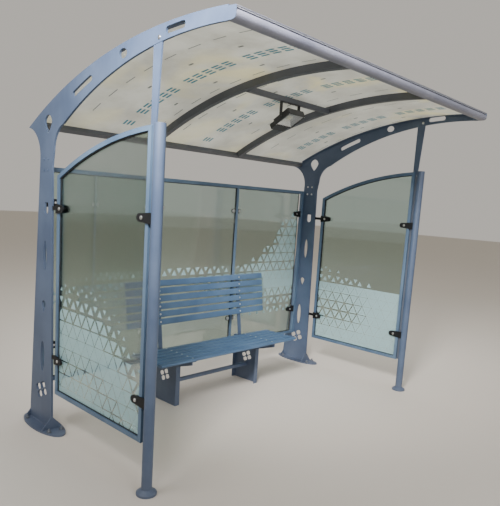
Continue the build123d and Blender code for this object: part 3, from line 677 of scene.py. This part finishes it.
# %% Cut the film for one pane
def film(name, low, high, share_at, to_wall):
    """Film on one pane. low and high are its corners in millimetres, to_wall puts a point on the glass."""
    places, shares, turns = [], [], []
    for row in range(int(low[1] // ROW_HIGH) - 1, int(high[1] // ROW_HIGH) + 2):
        for step in range(int(low[0] // TILE_SIDE) - 2, int(high[0] // TILE_SIDE) + 3):
            for points_up in (True, False):
                u = (step + row % 2 / 2 + (0 if points_up else 0.5)) * TILE_SIDE
                v = (row + (1 / 3 if points_up else 2 / 3)) * ROW_HIGH
                inside = low[0] - TILE_SIDE / 2 < u < high[0] + TILE_SIDE / 2 and v > low[1] - ROW_HIGH
                share_here = share_at(u, v) if inside else 0
                if share_here > LEAST_SHARE:
                    places.append((u * MM, v * MM, 0))
                    shares.append(share_here)
                    turns.append((0, 0, math.radians(90 if points_up else -90)))
    flat = run_tree(triangles_tree, base_mesh(places, share=shares, turn=turns), vinyl, Side=TILE_SIDE * MM)
    shape = bmesh.new()
    shape.from_mesh(flat)
    for corner, axis in ((low, -1), (high, 1)):
        for way in ((axis, 0, 0), (0, axis, 0)):
            everything = shape.verts[:] + shape.edges[:] + shape.faces[:]
            border = (corner[0] * MM, corner[1] * MM, 0)
            bmesh.ops.bisect_plane(shape, geom=everything, plane_co=border, plane_no=way, clear_outer=True)
    thicken(shape, shape.faces[:], (0, 0, FILM_THICK * MM), keep=True)
    for vert in shape.verts:
        vert.co = to_wall(*vert.co)
    bmesh.ops.recalc_face_normals(shape, faces=shape.faces[:])
    shape.to_mesh(flat)
    shape.free()
    put(name, flat, "shelter")


print("the film is", FILM_THICK, "mm thick")

# %% Film on the side panels and on the rear wall
PANEL_X, REAR_Y = 1503, 1347
GLASS_HALF = 4
LIFT = 0.2  # the film clears the glass by this, so that the two faces don't flicker
PANEL_LOW, PANEL_HIGH = (80.5, 326.5), (1043.5, 1500)
REAR_PANES = {"left": (-1419, -484), "middle": (-454, 454), "right": (484, 1419)}
REAR_LOW, REAR_HIGH = 329, 1846


def on_side(side):
    """The film is on the left face of both side panes."""
    surface = side * PANEL_X - GLASS_HALF - LIFT
    return lambda u, v, out: Vector((surface * MM - out, u - DEPTH_MID * MM, v))


def on_rear(u, v, out):
    """The film is on the front face of the rear panes."""
    return Vector((u, (REAR_Y - GLASS_HALF - LIFT - DEPTH_MID) * MM - out, v))


film("left_panel_film", PANEL_LOW, PANEL_HIGH, left_share, on_side(-1))
film("right_panel_film", PANEL_LOW, PANEL_HIGH, right_share, on_side(1))
for place, (low_x, high_x) in REAR_PANES.items():
    film(place + "_rear_film", (low_x, REAR_LOW), (high_x, REAR_HIGH), rear_share, on_rear)

# %% [markdown]
# ## Bolts, nuts and discs
#
# Every fastener here is a stack of short cones: a shank side, a shoulder and a crown. Six sides make
# a hexagon nut with its bevel, twenty a button head or a washer. One tree makes them all. The points
# carry the way that each one faces, and each is turned about its own axis by chance with a fixed
# seed, because no fitter lines them up.

# %% Tree for a fastener on each point
fastener_tree, given = start_tree("fasteners", ["Radius", "Height"], ["Sides"])
PROFILE = [(0.0, 1.0), (0.6, 1.0), (0.88, 0.82), (1.0, 0.45)]  # height and radius, as shares of the whole
levels = []
for (low, wide), (high, narrow) in zip(PROFILE, PROFILE[1:]):
    sizes = {
        label: add_node(
            fastener_tree, "ShaderNodeMath", {"operation": "MULTIPLY", 1: factor}, {0: given[source]}
        ).outputs[0]
        for label, source, factor in (
            ("Radius Bottom", "Radius", wide),
            ("Radius Top", "Radius", narrow),
            ("Depth", "Height", high - low),
            ("Rise", "Height", low),
        )
    }
    rise = add_node(fastener_tree, "ShaderNodeCombineXYZ", links={"Z": sizes.pop("Rise")})
    level_cone = add_node(
        fastener_tree, "GeometryNodeMeshCone", {"fill_type": "NGON"}, {"Vertices": given["Sides"], **sizes}
    )
    levels.append(
        add_node(
            fastener_tree,
            "GeometryNodeTransform",
            links={"Geometry": level_cone.outputs["Mesh"], "Translation": rise.outputs[0]},
        )
    )
stack = add_node(fastener_tree, "GeometryNodeJoinGeometry")
for level_part in levels:
    fastener_tree.links.new(level_part.outputs[0], stack.inputs[0])
facing = add_node(
    fastener_tree, "GeometryNodeInputNamedAttribute", {"data_type": "FLOAT_VECTOR", "Name": "facing"}
)
aligned = add_node(
    fastener_tree, "FunctionNodeAlignRotationToVector", {"axis": "Z"}, {"Vector": facing.outputs["Attribute"]}
)
FULL_TURN = 2 * math.pi
LEAST, MOST, CHANCE = 2, 3, 1  # a Random Value node's number sockets: its limits, and its result
chance = add_node(
    fastener_tree, "FunctionNodeRandomValue", {"data_type": "FLOAT", LEAST: 0.0, MOST: FULL_TURN, "Seed": 7}
)
spin = add_node(fastener_tree, "ShaderNodeCombineXYZ", links={"Z": chance.outputs[CHANCE]})
turned = add_node(
    fastener_tree,
    "FunctionNodeRotateRotation",
    {"rotation_space": "LOCAL"},
    {"Rotation": aligned.outputs[0], "Rotate By": spin.outputs[0]},
)
placed = add_node(
    fastener_tree,
    "GeometryNodeInstanceOnPoints",
    links={"Points": given["Geometry"], "Instance": stack.outputs[0], "Rotation": turned.outputs[0]},
)
end_tree(fastener_tree, placed.outputs[0], given["Material"])


def fasteners(name, spots, radius, height, sides=20, material=None, body="shelter"):
    """Fasteners of one size. spots are pairs of a place and the way that it faces."""
    base = base_mesh([spot for spot, _ in spots], facing=[way for _, way in spots])
    mesh = run_tree(
        fastener_tree, base, material or stainless, Radius=radius * MM, Height=height * MM, Sides=sides
    )
    put(name, mesh, body)


# %% Bolts of the panel clamps and the rear glass
CLAMP_BOLT_Y, CLAMP_BOLT_Z, CLAMP_FACE = (103, 1021), (547, 1595), 29
spots = [
    (at(side * PANEL_X + face * CLAMP_FACE, y, z), (face, 0, 0))
    for side in SIDES for face in SIDES for y in CLAMP_BOLT_Y for z in CLAMP_BOLT_Z
]
fasteners("panel_clamp_bolts", spots, 11, 6)

REAR_CLAMP_X, REAR_CLAMP_Z, REAR_CLAMP_FACE = 1396.5, (575, 1628), 14
spots = [
    (at(side * REAR_CLAMP_X, REAR_Y + face * REAR_CLAMP_FACE, z), (0, face, 0))
    for side in SIDES for face in SIDES for z in REAR_CLAMP_Z
]
fasteners("rear_clamp_bolts", spots, 9, 5)

MULLION_X, DISC_OUT, DISC_SEAT, SEAT_GAP = 469, 42, 3, 0.3


def disc_spots(gap):
    """The places of the discs beside both mullions, on both faces of the glass."""
    return [
        (at(mullion * MULLION_X + beside * DISC_OUT, REAR_Y + face * (GLASS_HALF + gap), z), (0, face, 0))
        for mullion in SIDES for beside in SIDES for face in SIDES for z in REAR_CLAMP_Z
    ]


fasteners("glass_disc_seats", disc_spots(SEAT_GAP), 21, DISC_SEAT, material=rubber)
fasteners("glass_discs", disc_spots(DISC_SEAT), 18, 7)

# %% Bolts of the arches, columns and base plates
ARCH_X, PLATE_HALF = 1503, 7.5
STRUT_BOLT_Y, STRUT_BOLT_Z = 28, 2533
spots = [
    (at(side * (ARCH_X + face * PLATE_HALF), STRUT_BOLT_Y, STRUT_BOLT_Z), (side * face, 0, 0))
    for side in SIDES for face in SIDES
]
fasteners("strut_bolts", spots, 11, 5)

SPLICE_Y, SPLICE_Z, SPLICE_BOLT_Y, SPLICE_BOLT_Z = 1254, 1885.2, 28, 38
FISH_HALF_Y, FISH_HALF_Z, FISH_THICK = 46, 64, 6
OUTSIDE, INSIDE = ARCH_X + PLATE_HALF, ARCH_X - PLATE_HALF - FISH_THICK
holes = [(SPLICE_Y + a * SPLICE_BOLT_Y, SPLICE_Z + b * SPLICE_BOLT_Z) for a in SIDES for b in SIDES]
spots = [(at(side * OUTSIDE, y, z), (side, 0, 0)) for side in SIDES for y, z in holes]
fasteners("splice_bolts_outside", spots, 8, 4, material=frame_coat)
spots = [(at(side * INSIDE, y, z), (-side, 0, 0)) for side in SIDES for y, z in holes]
fasteners("splice_nuts_inside", spots, 10, 8, sides=6)

UP = (0, 0, 1)
PLATE_Y, PLATE_TOP, ANCHOR_X, ANCHOR_Y = 1260, 12, 48, 170
WASHER_HIGH, NUT_HIGH, STUD_HIGH = 3, 13, 11
anchors = [
    (side * PANEL_X + a * ANCHOR_X, PLATE_Y + b * ANCHOR_Y) for side in SIDES for a in SIDES for b in SIDES
]
for name, foot, radius, high, sides in (
    ("anchor_washers", PLATE_TOP, 17, WASHER_HIGH, 20),
    ("anchor_nuts", PLATE_TOP + WASHER_HIGH, 13.9, NUT_HIGH, 6),
    ("anchor_studs", PLATE_TOP + WASHER_HIGH + NUT_HIGH, 7.6, STUD_HIGH, 12),
):
    fasteners(name, [(at(x, y, foot), UP) for x, y in anchors], radius, high, sides=sides, material=zinc)

# %% Bolts of the bench
SLATS = 6
SLAT_BOLT_X, SEAT_TOP, SEAT_FIRST, SEAT_PITCH = 484.5, 452, 797, 68
BACK_LEAN = math.radians(8)
BACK_OUT = (0, -math.cos(BACK_LEAN), math.sin(BACK_LEAN))
BACK_FOOT_Y, BACK_FOOT_Z, BACK_FIRST, BACK_PITCH = 1222, 640, 26, 66
spots = [
    (at(side * SLAT_BOLT_X, SEAT_FIRST + row * SEAT_PITCH, SEAT_TOP), UP)
    for side in SIDES for row in range(SLATS)
]
for row in range(SLATS):
    reach = BACK_FIRST + row * BACK_PITCH
    y, z = BACK_FOOT_Y + reach * math.sin(BACK_LEAN), BACK_FOOT_Z + reach * math.cos(BACK_LEAN)
    spots += [(at(side * SLAT_BOLT_X, y, z), BACK_OUT) for side in SIDES]
fasteners("slat_bolts", spots, 8, 3, sides=16)

# %% Screws along the cover strips
TOP_CENTRE_Y, TOP_CENTRE_Z = -256, -1015
RIB_X, STRIP_RADIUS, SEAL_PROUD = 498.5, 3616.3, 1.8
SCREWS, FIRST_SCREW, SCREW_PITCH = 7, -0.05, 0.078  # the last two are angles, in radians


def on_arch(x, angle, radius):
    """A place on the roof's curve: angle in radians, back from the top."""
    return at(x, TOP_CENTRE_Y + radius * math.sin(angle), TOP_CENTRE_Z + radius * math.cos(angle))


def strip_spots(radius):
    """The places of the screws along both cover strips, each facing straight out of the roof."""
    angles = [FIRST_SCREW + step * SCREW_PITCH for step in range(SCREWS)]
    return [
        (on_arch(side * RIB_X, angle, radius), (0, math.sin(angle), math.cos(angle)))
        for side in SIDES for angle in angles
    ]


fasteners("strip_screw_seals", strip_spots(STRIP_RADIUS), 10, 2, material=rubber)
fasteners("strip_screws", strip_spots(STRIP_RADIUS + SEAL_PROUD), 7.5, 5, sides=6)

# %% [markdown]
# ## Fishplates
#
# Each arch stands on its column edge to edge, so a small plate across the joint on the inner side
# holds the two. Its edges are broken a little, so that they catch the light.

# %% Fishplates
PLATE_GAP = 0.2


def slab(name, low, high, material, bevel):
    """A plate between two corners in metres, with its edges broken."""
    shape = bmesh.new()
    bmesh.ops.create_cube(shape, size=1)
    for vert in shape.verts:
        vert.co = Vector(low[i] if vert.co[i] < 0 else high[i] for i in range(3))
    bmesh.ops.bevel(shape, geom=shape.edges[:], offset=bevel * MM, segments=2, affect="EDGES", profile=0.7)
    put(name, mesh_of(shape, name, material), "shelter")


for side, place in SIDE_NAMES:
    near = side * (ARCH_X - PLATE_HALF - PLATE_GAP)
    far = near - side * FISH_THICK
    low = at(min(near, far), SPLICE_Y - FISH_HALF_Y, SPLICE_Z - FISH_HALF_Z)
    high = at(max(near, far), SPLICE_Y + FISH_HALF_Y, SPLICE_Z + FISH_HALF_Z)
    slab(place + "_fishplate", low, high, frame_coat, 1.2)

# %% [markdown]
# ## Seals and end plates
#
# A strip of rubber closes the gap between each front post and its panel. It is the dark line along
# the post, from the lower rail up to the strut.

# %% Gap seals
SEAL_FRONT, SEAL_REAR, SEAL_HALF, SEAL_LOW, SEAL_HIGH = 33, 51.4, 4, 302, 2056
for side, place in SIDE_NAMES:
    low = at(side * PANEL_X - SEAL_HALF, SEAL_FRONT, SEAL_LOW)
    high = at(side * PANEL_X + SEAL_HALF, SEAL_REAR, SEAL_HIGH)
    slab(place + "_gap_seal", low, high, faded_rubber, 1.5)

# %% [markdown]
# The front beam has a faded seal in the groove under its lip. A thin painted plate closes each end,
# so the arch's blue runs up to the nose.

# %% Front beam seal and end plates
BEAM_HALF, GROOVE_FRONT, GROOVE_BACK, GROOVE_LOW, GROOVE_HIGH = 1510, -526, -519.2, 2579.2, 2586.4
BEAM_LOW, BEAM_TOP, BEAM_BACK, NOSE = 2528.9, 2592.2, -476, -532.8
END_X, END_THICK = 1510.3, 1.7
END_OUTLINE = [
    (BEAM_BACK, BEAM_LOW), (BEAM_BACK, BEAM_TOP), (-529, 2589.2), (NOSE, 2578), (NOSE, 2550),
    (-530, 2541), (-525, 2534.5), (-518, 2530.5), (-509, BEAM_LOW),
]
low, high = at(-BEAM_HALF, GROOVE_FRONT, GROOVE_LOW), at(BEAM_HALF, GROOVE_BACK, GROOVE_HIGH)
slab("beam_groove_seal", low, high, groove_strip, 0.6)
for side, place in SIDE_NAMES:
    name = place + "_beam_end_plate"
    shape = bmesh.new()
    face = shape.faces.new([shape.verts.new(at(side * END_X, y, z)) for y, z in END_OUTLINE])
    thicken(shape, [face], (side * END_THICK * MM, 0, 0), keep=False)
    put(name, mesh_of(shape, name, frame_coat), "shelter")

# %% [markdown]
# ## Welds
#
# The columns are welded to their base plates. A hand-laid weld is a row of overlapping ripples,
# which a tree makes by laying flattened balls along a line, each a little different by chance with a
# fixed seed.

# %% Tree for a weld along a line
weld_tree, given = start_tree("weld_ripples", ["Pitch", "Radius"])
path = add_node(weld_tree, "GeometryNodeMeshToCurve", links={"Mesh": given["Geometry"]})
steps = add_node(
    weld_tree,
    "GeometryNodeCurveToPoints",
    {"mode": "LENGTH"},
    {"Curve": path.outputs[0], "Length": given["Pitch"]},
)
ball = add_node(weld_tree, "GeometryNodeMeshIcoSphere", {"Subdivisions": 2}, {"Radius": given["Radius"]})
facing_path = add_node(
    weld_tree, "FunctionNodeAlignRotationToVector", {"axis": "X"}, {"Vector": steps.outputs["Tangent"]}
)
SMALLEST, LARGEST = (0.75, 0.85, 0.85), (0.95, 1.1, 1.1)
size_chance = add_node(
    weld_tree,
    "FunctionNodeRandomValue",
    {"data_type": "FLOAT_VECTOR", 0: SMALLEST, 1: LARGEST, "Seed": 3},
)
ripples = add_node(
    weld_tree,
    "GeometryNodeInstanceOnPoints",
    links={
        "Points": steps.outputs["Points"],
        "Instance": ball.outputs["Mesh"],
        "Rotation": facing_path.outputs[0],
        "Scale": size_chance.outputs[0],
    },
)
end_tree(weld_tree, ripples.outputs[0], given["Material"])

# %% Welds at the feet of the columns
WELD_RADIUS, WELD_PITCH, WELD_OUT, WELD_UP = 4.5, 6, 0.5, 1
COLUMN_FRONT, COLUMN_REAR = 1146, 1464
places = [
    at(side * ARCH_X + face * (PLATE_HALF + WELD_OUT), end, PLATE_TOP + WELD_UP)
    for side in SIDES for face in SIDES for end in (COLUMN_FRONT, COLUMN_REAR)
]
runs = [(i, i + 1) for i in range(0, len(places), 2)]
weld = run_tree(
    weld_tree, base_mesh(places, runs), frame_coat, Pitch=WELD_PITCH * MM, Radius=WELD_RADIUS * MM
)
put("column_welds", weld, "shelter")

# %% [markdown]
# ## Rubber round the glass
#
# Glass never touches steel: a rubber bead on each face holds it in its frame. From a few steps away
# the bead is the thin dark line between tube and glass. Each bead is a flat ring between two
# outlines, the edge of the tube and the same outline a few millimetres further in.

# %% Outlines of the glass openings
ARC_STEPS = 28
OPENING_FRONT, OPENING_REAR, OPENING_LOW, HEAD_RADIUS = 80, 1044, 326, 2572
HEAD_CENTRE_Y, HEAD_CENTRE_Z = -115, -502


def arched_outline(inset):
    """The opening of a side panel, moved in by some millimetres, as (y, z) points."""
    low_y, high_y = OPENING_FRONT + inset, OPENING_REAR - inset
    low_z, radius = OPENING_LOW + inset, HEAD_RADIUS - inset
    head = []
    for step in range(ARC_STEPS + 1):
        y = high_y + (low_y - high_y) * step / ARC_STEPS
        head.append((y, HEAD_CENTRE_Z + math.sqrt(radius**2 - (y - HEAD_CENTRE_Y) ** 2)))
    return [(low_y, low_z), (high_y, low_z)] + head


def box_outline(low, high, inset):
    """A rectangle between two corners, moved in by some millimetres."""
    low_u, low_v, high_u, high_v = low[0] + inset, low[1] + inset, high[0] - inset, high[1] - inset
    return [(low_u, low_v), (high_u, low_v), (high_u, high_v), (low_u, high_v)]


print("the outline of a side opening has", len(arched_outline(0)), "points")


# %% Beads
def bead(name, outlines, placer, near, far):
    """Rings between pairs of outlines, from near to far off the middle of the glass."""
    shape = bmesh.new()
    for outer, inner in outlines:
        outer_near, outer_far, inner_near, inner_far = (
            [shape.verts.new(placer(u, v, w)) for u, v in line]
            for line in (outer, inner) for w in (near, far)
        )
        around = (outer_near, outer_far, inner_far, inner_near, outer_near)
        count = len(outer)
        for i in range(count):
            j = (i + 1) % count
            for one, two in zip(around, around[1:]):
                shape.faces.new((one[i], one[j], two[j], two[i]))
    put(name, mesh_of(shape, name, rubber), "shelter")


BEAD_NEAR, PANEL_BEAD_WIDE, PANEL_BEAD_FAR, REAR_BEAD_WIDE, REAR_BEAD_FAR = 4.6, 6, 10, 5, 8
OVERLAP, REAR_FRAME_LOW, REAR_FRAME_HIGH = 0.3, 328.8, 1846.2
panel_loops = [(arched_outline(-1), arched_outline(PANEL_BEAD_WIDE))]
for side, place in SIDE_NAMES:
    for face, where in ((-1, "low"), (1, "high")):
        bead(
            f"{place}_panel_bead_{where}",
            panel_loops,
            lambda u, v, w: at(side * PANEL_X + face * w, u, v),
            BEAD_NEAR,
            PANEL_BEAD_FAR,
        )

rear_loops = []
for low_x, high_x in REAR_PANES.values():
    low, high = (low_x - OVERLAP, REAR_FRAME_LOW), (high_x + OVERLAP, REAR_FRAME_HIGH)
    rear_loops.append((box_outline(low, high, 0), box_outline(low, high, REAR_BEAD_WIDE)))
for face, where in ((-1, "front"), (1, "back")):
    bead(
        "rear_wall_bead_" + where,
        rear_loops,
        lambda u, v, w: at(u, REAR_Y + face * w, v),
        BEAD_NEAR,
        REAR_BEAD_FAR,
    )

# %% [markdown]
# ## Marks on the roof film
#
# The protective film of such sheets is printed in rows that run with the arch. Here the rows are
# plain dashes: thin grey ones near the edges of each sheet, and three lines of teal ones together.
# A rounded dash on each point of a row does it. Each point carries its lean, so that the dash lies
# on the curve.

# %% Tree for dashes
ink_teal = plain_finish("teal_flexo_ink", "#3E93A8", 0.6, variety=0.25)
ink_grey = plain_finish("grey_flexo_ink", "#7F8682", 0.6, variety=0.25)
dash_tree, given = start_tree("printed_dashes", ["Length", "Width", "Thickness"])
dash_outline = add_node(
    dash_tree,
    "GeometryNodeCurvePrimitiveQuadrilateral",
    {"mode": "RECTANGLE"},
    {"Width": given["Width"], "Height": given["Length"]},
)
corner = add_node(dash_tree, "ShaderNodeMath", {"operation": "MULTIPLY", 1: 0.3}, {0: given["Width"]})
rounded = add_node(
    dash_tree,
    "GeometryNodeFilletCurve",
    {"mode": "POLY", "Count": 2},
    {"Curve": dash_outline.outputs[0], "Radius": corner.outputs[0]},
)
filled = add_node(dash_tree, "GeometryNodeFillCurve", {"mode": "NGONS"}, {"Curve": rounded.outputs[0]})
raised = add_node(
    dash_tree,
    "GeometryNodeExtrudeMesh",
    {"mode": "FACES"},
    {"Mesh": filled.outputs[0], "Offset Scale": given["Thickness"]},
)
under = add_node(dash_tree, "GeometryNodeFlipFaces", links={"Mesh": filled.outputs[0]})
both = add_node(dash_tree, "GeometryNodeJoinGeometry")
for half in (raised, under):
    dash_tree.links.new(half.outputs[0], both.inputs[0])
sealed = add_node(dash_tree, "GeometryNodeMergeByDistance", links={"Geometry": both.outputs[0]})
lean = add_node(dash_tree, "GeometryNodeInputNamedAttribute", {"data_type": "FLOAT_VECTOR", "Name": "lean"})
dashes = add_node(
    dash_tree,
    "GeometryNodeInstanceOnPoints",
    links={"Points": given["Geometry"], "Instance": sealed.outputs[0], "Rotation": lean.outputs["Attribute"]},
)
end_tree(dash_tree, dashes.outputs[0], given["Material"])

# %% Rows of dashes under and over the roof
UNDER_RADIUS, OVER_RADIUS = 3603.4, 3612.2
BAYS = {"left": (-1495, -520), "middle": (-478, 478), "right": (520, 1495)}
FRONT_ANGLE, REAR_ANGLE = -0.055, 0.455
INK_THICK = 0.2


def dash_rows(name, rows, pitch, skip, length, width, material, radius):
    """Rows of dashes. A row is a bay, its share of the bay's width, and the angle where it starts."""
    places, leans = [], []
    for bay, across, start in rows:
        low, high = BAYS[bay]
        for step in range(int((REAR_ANGLE - FRONT_ANGLE - start) * radius / pitch)):
            if skip and step % skip == skip - 1:
                continue
            angle = FRONT_ANGLE + start + (step + 0.5) * pitch / radius
            places.append(on_arch(low + (high - low) * across, angle, radius))
            leans.append((-angle, 0, 0))
    base = base_mesh(places, lean=leans)
    mesh = run_tree(dash_tree, base, material, Length=length * MM, Width=width * MM, Thickness=INK_THICK * MM)
    put(name, mesh, "shelter")


MAIN_ROW = {"left": 0.66, "middle": 0.5, "right": 0.66}
START_STEP, TEAL_APART = 0.012, 0.034
teal_rows, long_rows, short_rows = [], [], []
for bay, middle in MAIN_ROW.items():
    start = START_STEP * (1 + list(MAIN_ROW).index(bay))
    teal_rows += [(bay, middle + shift, start) for shift in (-TEAL_APART, 0, TEAL_APART)]
    long_rows += [(bay, middle - 0.36, start), (bay, min(0.94, middle + 0.36), start + 0.02)]
    short_rows += [(bay, middle - 0.18, start + 0.03), (bay, middle + 0.17, start + 0.07)]
DASHES = (  # name, rows, pitch, which one is left out each time or 0 for none, length, width, ink
    ("teal_dashes", teal_rows, 92, 6, 64, 18, ink_teal),
    ("long_grey_dashes", long_rows, 210, 0, 120, 7, ink_grey),
    ("short_grey_dashes", short_rows, 430, 0, 40, 16, ink_grey),
)
for radius, where in ((UNDER_RADIUS, "under"), (OVER_RADIUS, "over")):
    for name, *facts in DASHES:
        dash_rows(f"{name}_{where}", *facts, radius)

# %% [markdown]
# ## Inside and behind the floodlight
#
# Through its glass the lamp shows a reflector of four sloping sheets round a small board of light
# chips. Fins behind the case cool it. All of this turns with the case, so it rides on the
# floodlight, and only the two bolts that hold the bracket stay with the shelter. Places are given in
# the lamp's own directions: across, up its face and out of it.

# %% Reflector
LAMP_Y, LAMP_Z = 373, 2370.12
PIVOT = at(0, LAMP_Y, LAMP_Z)
LAMP_TILT = math.radians(60)
FACE_OUT = Vector((0, -math.cos(LAMP_TILT), -math.sin(LAMP_TILT)))
FACE_UP = FACE_OUT.cross(Vector((1, 0, 0)))


def on_lamp(across, upward, out):
    """A place from the lamp's own measures, off its pivot."""
    return PIVOT + Vector((across * MM, 0, 0)) + FACE_UP * (upward * MM) + FACE_OUT * (out * MM)


hammered = plain_finish(
    "hammered_reflector_aluminium", "#A3A4A8", 0.45, metallic=0.5, grain=2.0, depth=0.2, variety=0.04
)
# Painted reflection: the lowest sheet is near white and less metallic than the others, so that it shows
# bright through the glass.
painted_reflection_coat = plain_finish(
    "reflector_aluminium_painted_reflection", "#F2F3F1", 0.4, metallic=0.3, grain=2.0, depth=0.1, variety=0.02
)
LENS_UNDER, CAVITY_FLOOR, SHEET_FOOT, SHEET = 16.5, -8.6, 3, 1.0
WIDE_HALF, HIGH_HALF, FOOT_WIDE, FOOT_HIGH = 86.5, 69.5, 32, 24
CORNERS = ((-1, -1), (1, -1), (1, 1), (-1, 1))
shape = bmesh.new()
rings = []
for half_wide, half_high, out in (
    (WIDE_HALF, HIGH_HALF, LENS_UNDER),
    (FOOT_WIDE, FOOT_HIGH, CAVITY_FLOOR + SHEET_FOOT),
    (FOOT_WIDE, FOOT_HIGH, CAVITY_FLOOR + SHEET_FOOT - SHEET),
    (WIDE_HALF, HIGH_HALF, LENS_UNDER - SHEET),
):
    rings.append([shape.verts.new(on_lamp(a * half_wide, b * half_high, out)) for a, b in CORNERS])
for one, two in zip(rings, rings[1:] + rings[:1]):
    for i in range(len(CORNERS)):
        j = (i + 1) % len(CORNERS)
        sheet = shape.faces.new((one[i], one[j], two[j], two[i]))
        # The lowest sheet gets the painted reflection.
        sheet.material_index = 0 if i else 1  # the lowest sheet is the brightest
put("lamp_reflector", mesh_of(shape, "lamp_reflector", hammered, painted_reflection_coat), "floodlight")

# %% Chips, screws and bolts of the lamp
phosphor = plain_finish("yellow_phosphor_chips", "#D8CFA6", 0.5, grain=1.5, depth=0.1, variety=0.2)
BOARD_THICK = 2.6
CHIPS_ACROSS, CHIPS_UP = (-22, -11, 0, 11, 22), (-15, -5, 5, 15)
CORNER_WIDE, CORNER_HIGH, CORNER_OUT = 88, 71, 23
PIVOT_X, HANGER_X, BRACKET_TOP, BRACKET_THICK = 107.4, 44, 2479.1, 4
chips = [
    (on_lamp(across, upward, CAVITY_FLOOR + BOARD_THICK), tuple(FACE_OUT))
    for across in CHIPS_ACROSS for upward in CHIPS_UP
]
fasteners("lamp_chips", chips, 3.6, 1.8, sides=12, material=phosphor, body="floodlight")
screws = [
    (on_lamp(a * CORNER_WIDE, b * CORNER_HIGH, CORNER_OUT), tuple(FACE_OUT)) for a in SIDES for b in SIDES
]
fasteners("lamp_corner_screws", screws, 3.2, 1.8, sides=10, body="floodlight")
pivots = [(at(side * PIVOT_X, LAMP_Y, LAMP_Z), (side, 0, 0)) for side in SIDES]
fasteners("lamp_pivot_bolts", pivots, 9, 6, sides=6, material=lamp_coat, body="floodlight")
hangers = [(at(side * HANGER_X, LAMP_Y, BRACKET_TOP - BRACKET_THICK), (0, 0, -1)) for side in SIDES]
fasteners("bracket_bolts", hangers, 8, 5, sides=6)

# %% Board and fins
board_white = plain_finish("white_solder_mask", "#E4E6E4", 0.5, variety=0.04)
BOARD_LOW, BOARD_HIGH = (-31, -23, CAVITY_FLOOR), (31, 23, CAVITY_FLOOR + BOARD_THICK)
FIN_LAST, FIN_PITCH, FIN_HALF, FIN_HIGH, FIN_TIP, FIN_ROOT = 78, 12, 1.5, 58, -31, -23.2


def lamp_blocks(name, blocks, material):
    """Blocks in the lamp's own directions, each given by two corners."""
    shape = bmesh.new()
    for low, high in blocks:
        for vert in bmesh.ops.create_cube(shape, size=1)["verts"]:
            vert.co = on_lamp(*(low[i] if vert.co[i] < 0 else high[i] for i in range(3)))
    bmesh.ops.bevel(shape, geom=shape.edges[:], offset=0.5 * MM, segments=1, affect="EDGES")
    put(name, mesh_of(shape, name, material), "floodlight")


fins = [
    ((x - FIN_HALF, -FIN_HIGH, FIN_TIP), (x + FIN_HALF, FIN_HIGH, FIN_ROOT))
    for x in range(-FIN_LAST, FIN_LAST + 1, FIN_PITCH)
]
lamp_blocks("lamp_board", [(BOARD_LOW, BOARD_HIGH)], board_white)
lamp_blocks("lamp_fins", fins, lamp_coat)
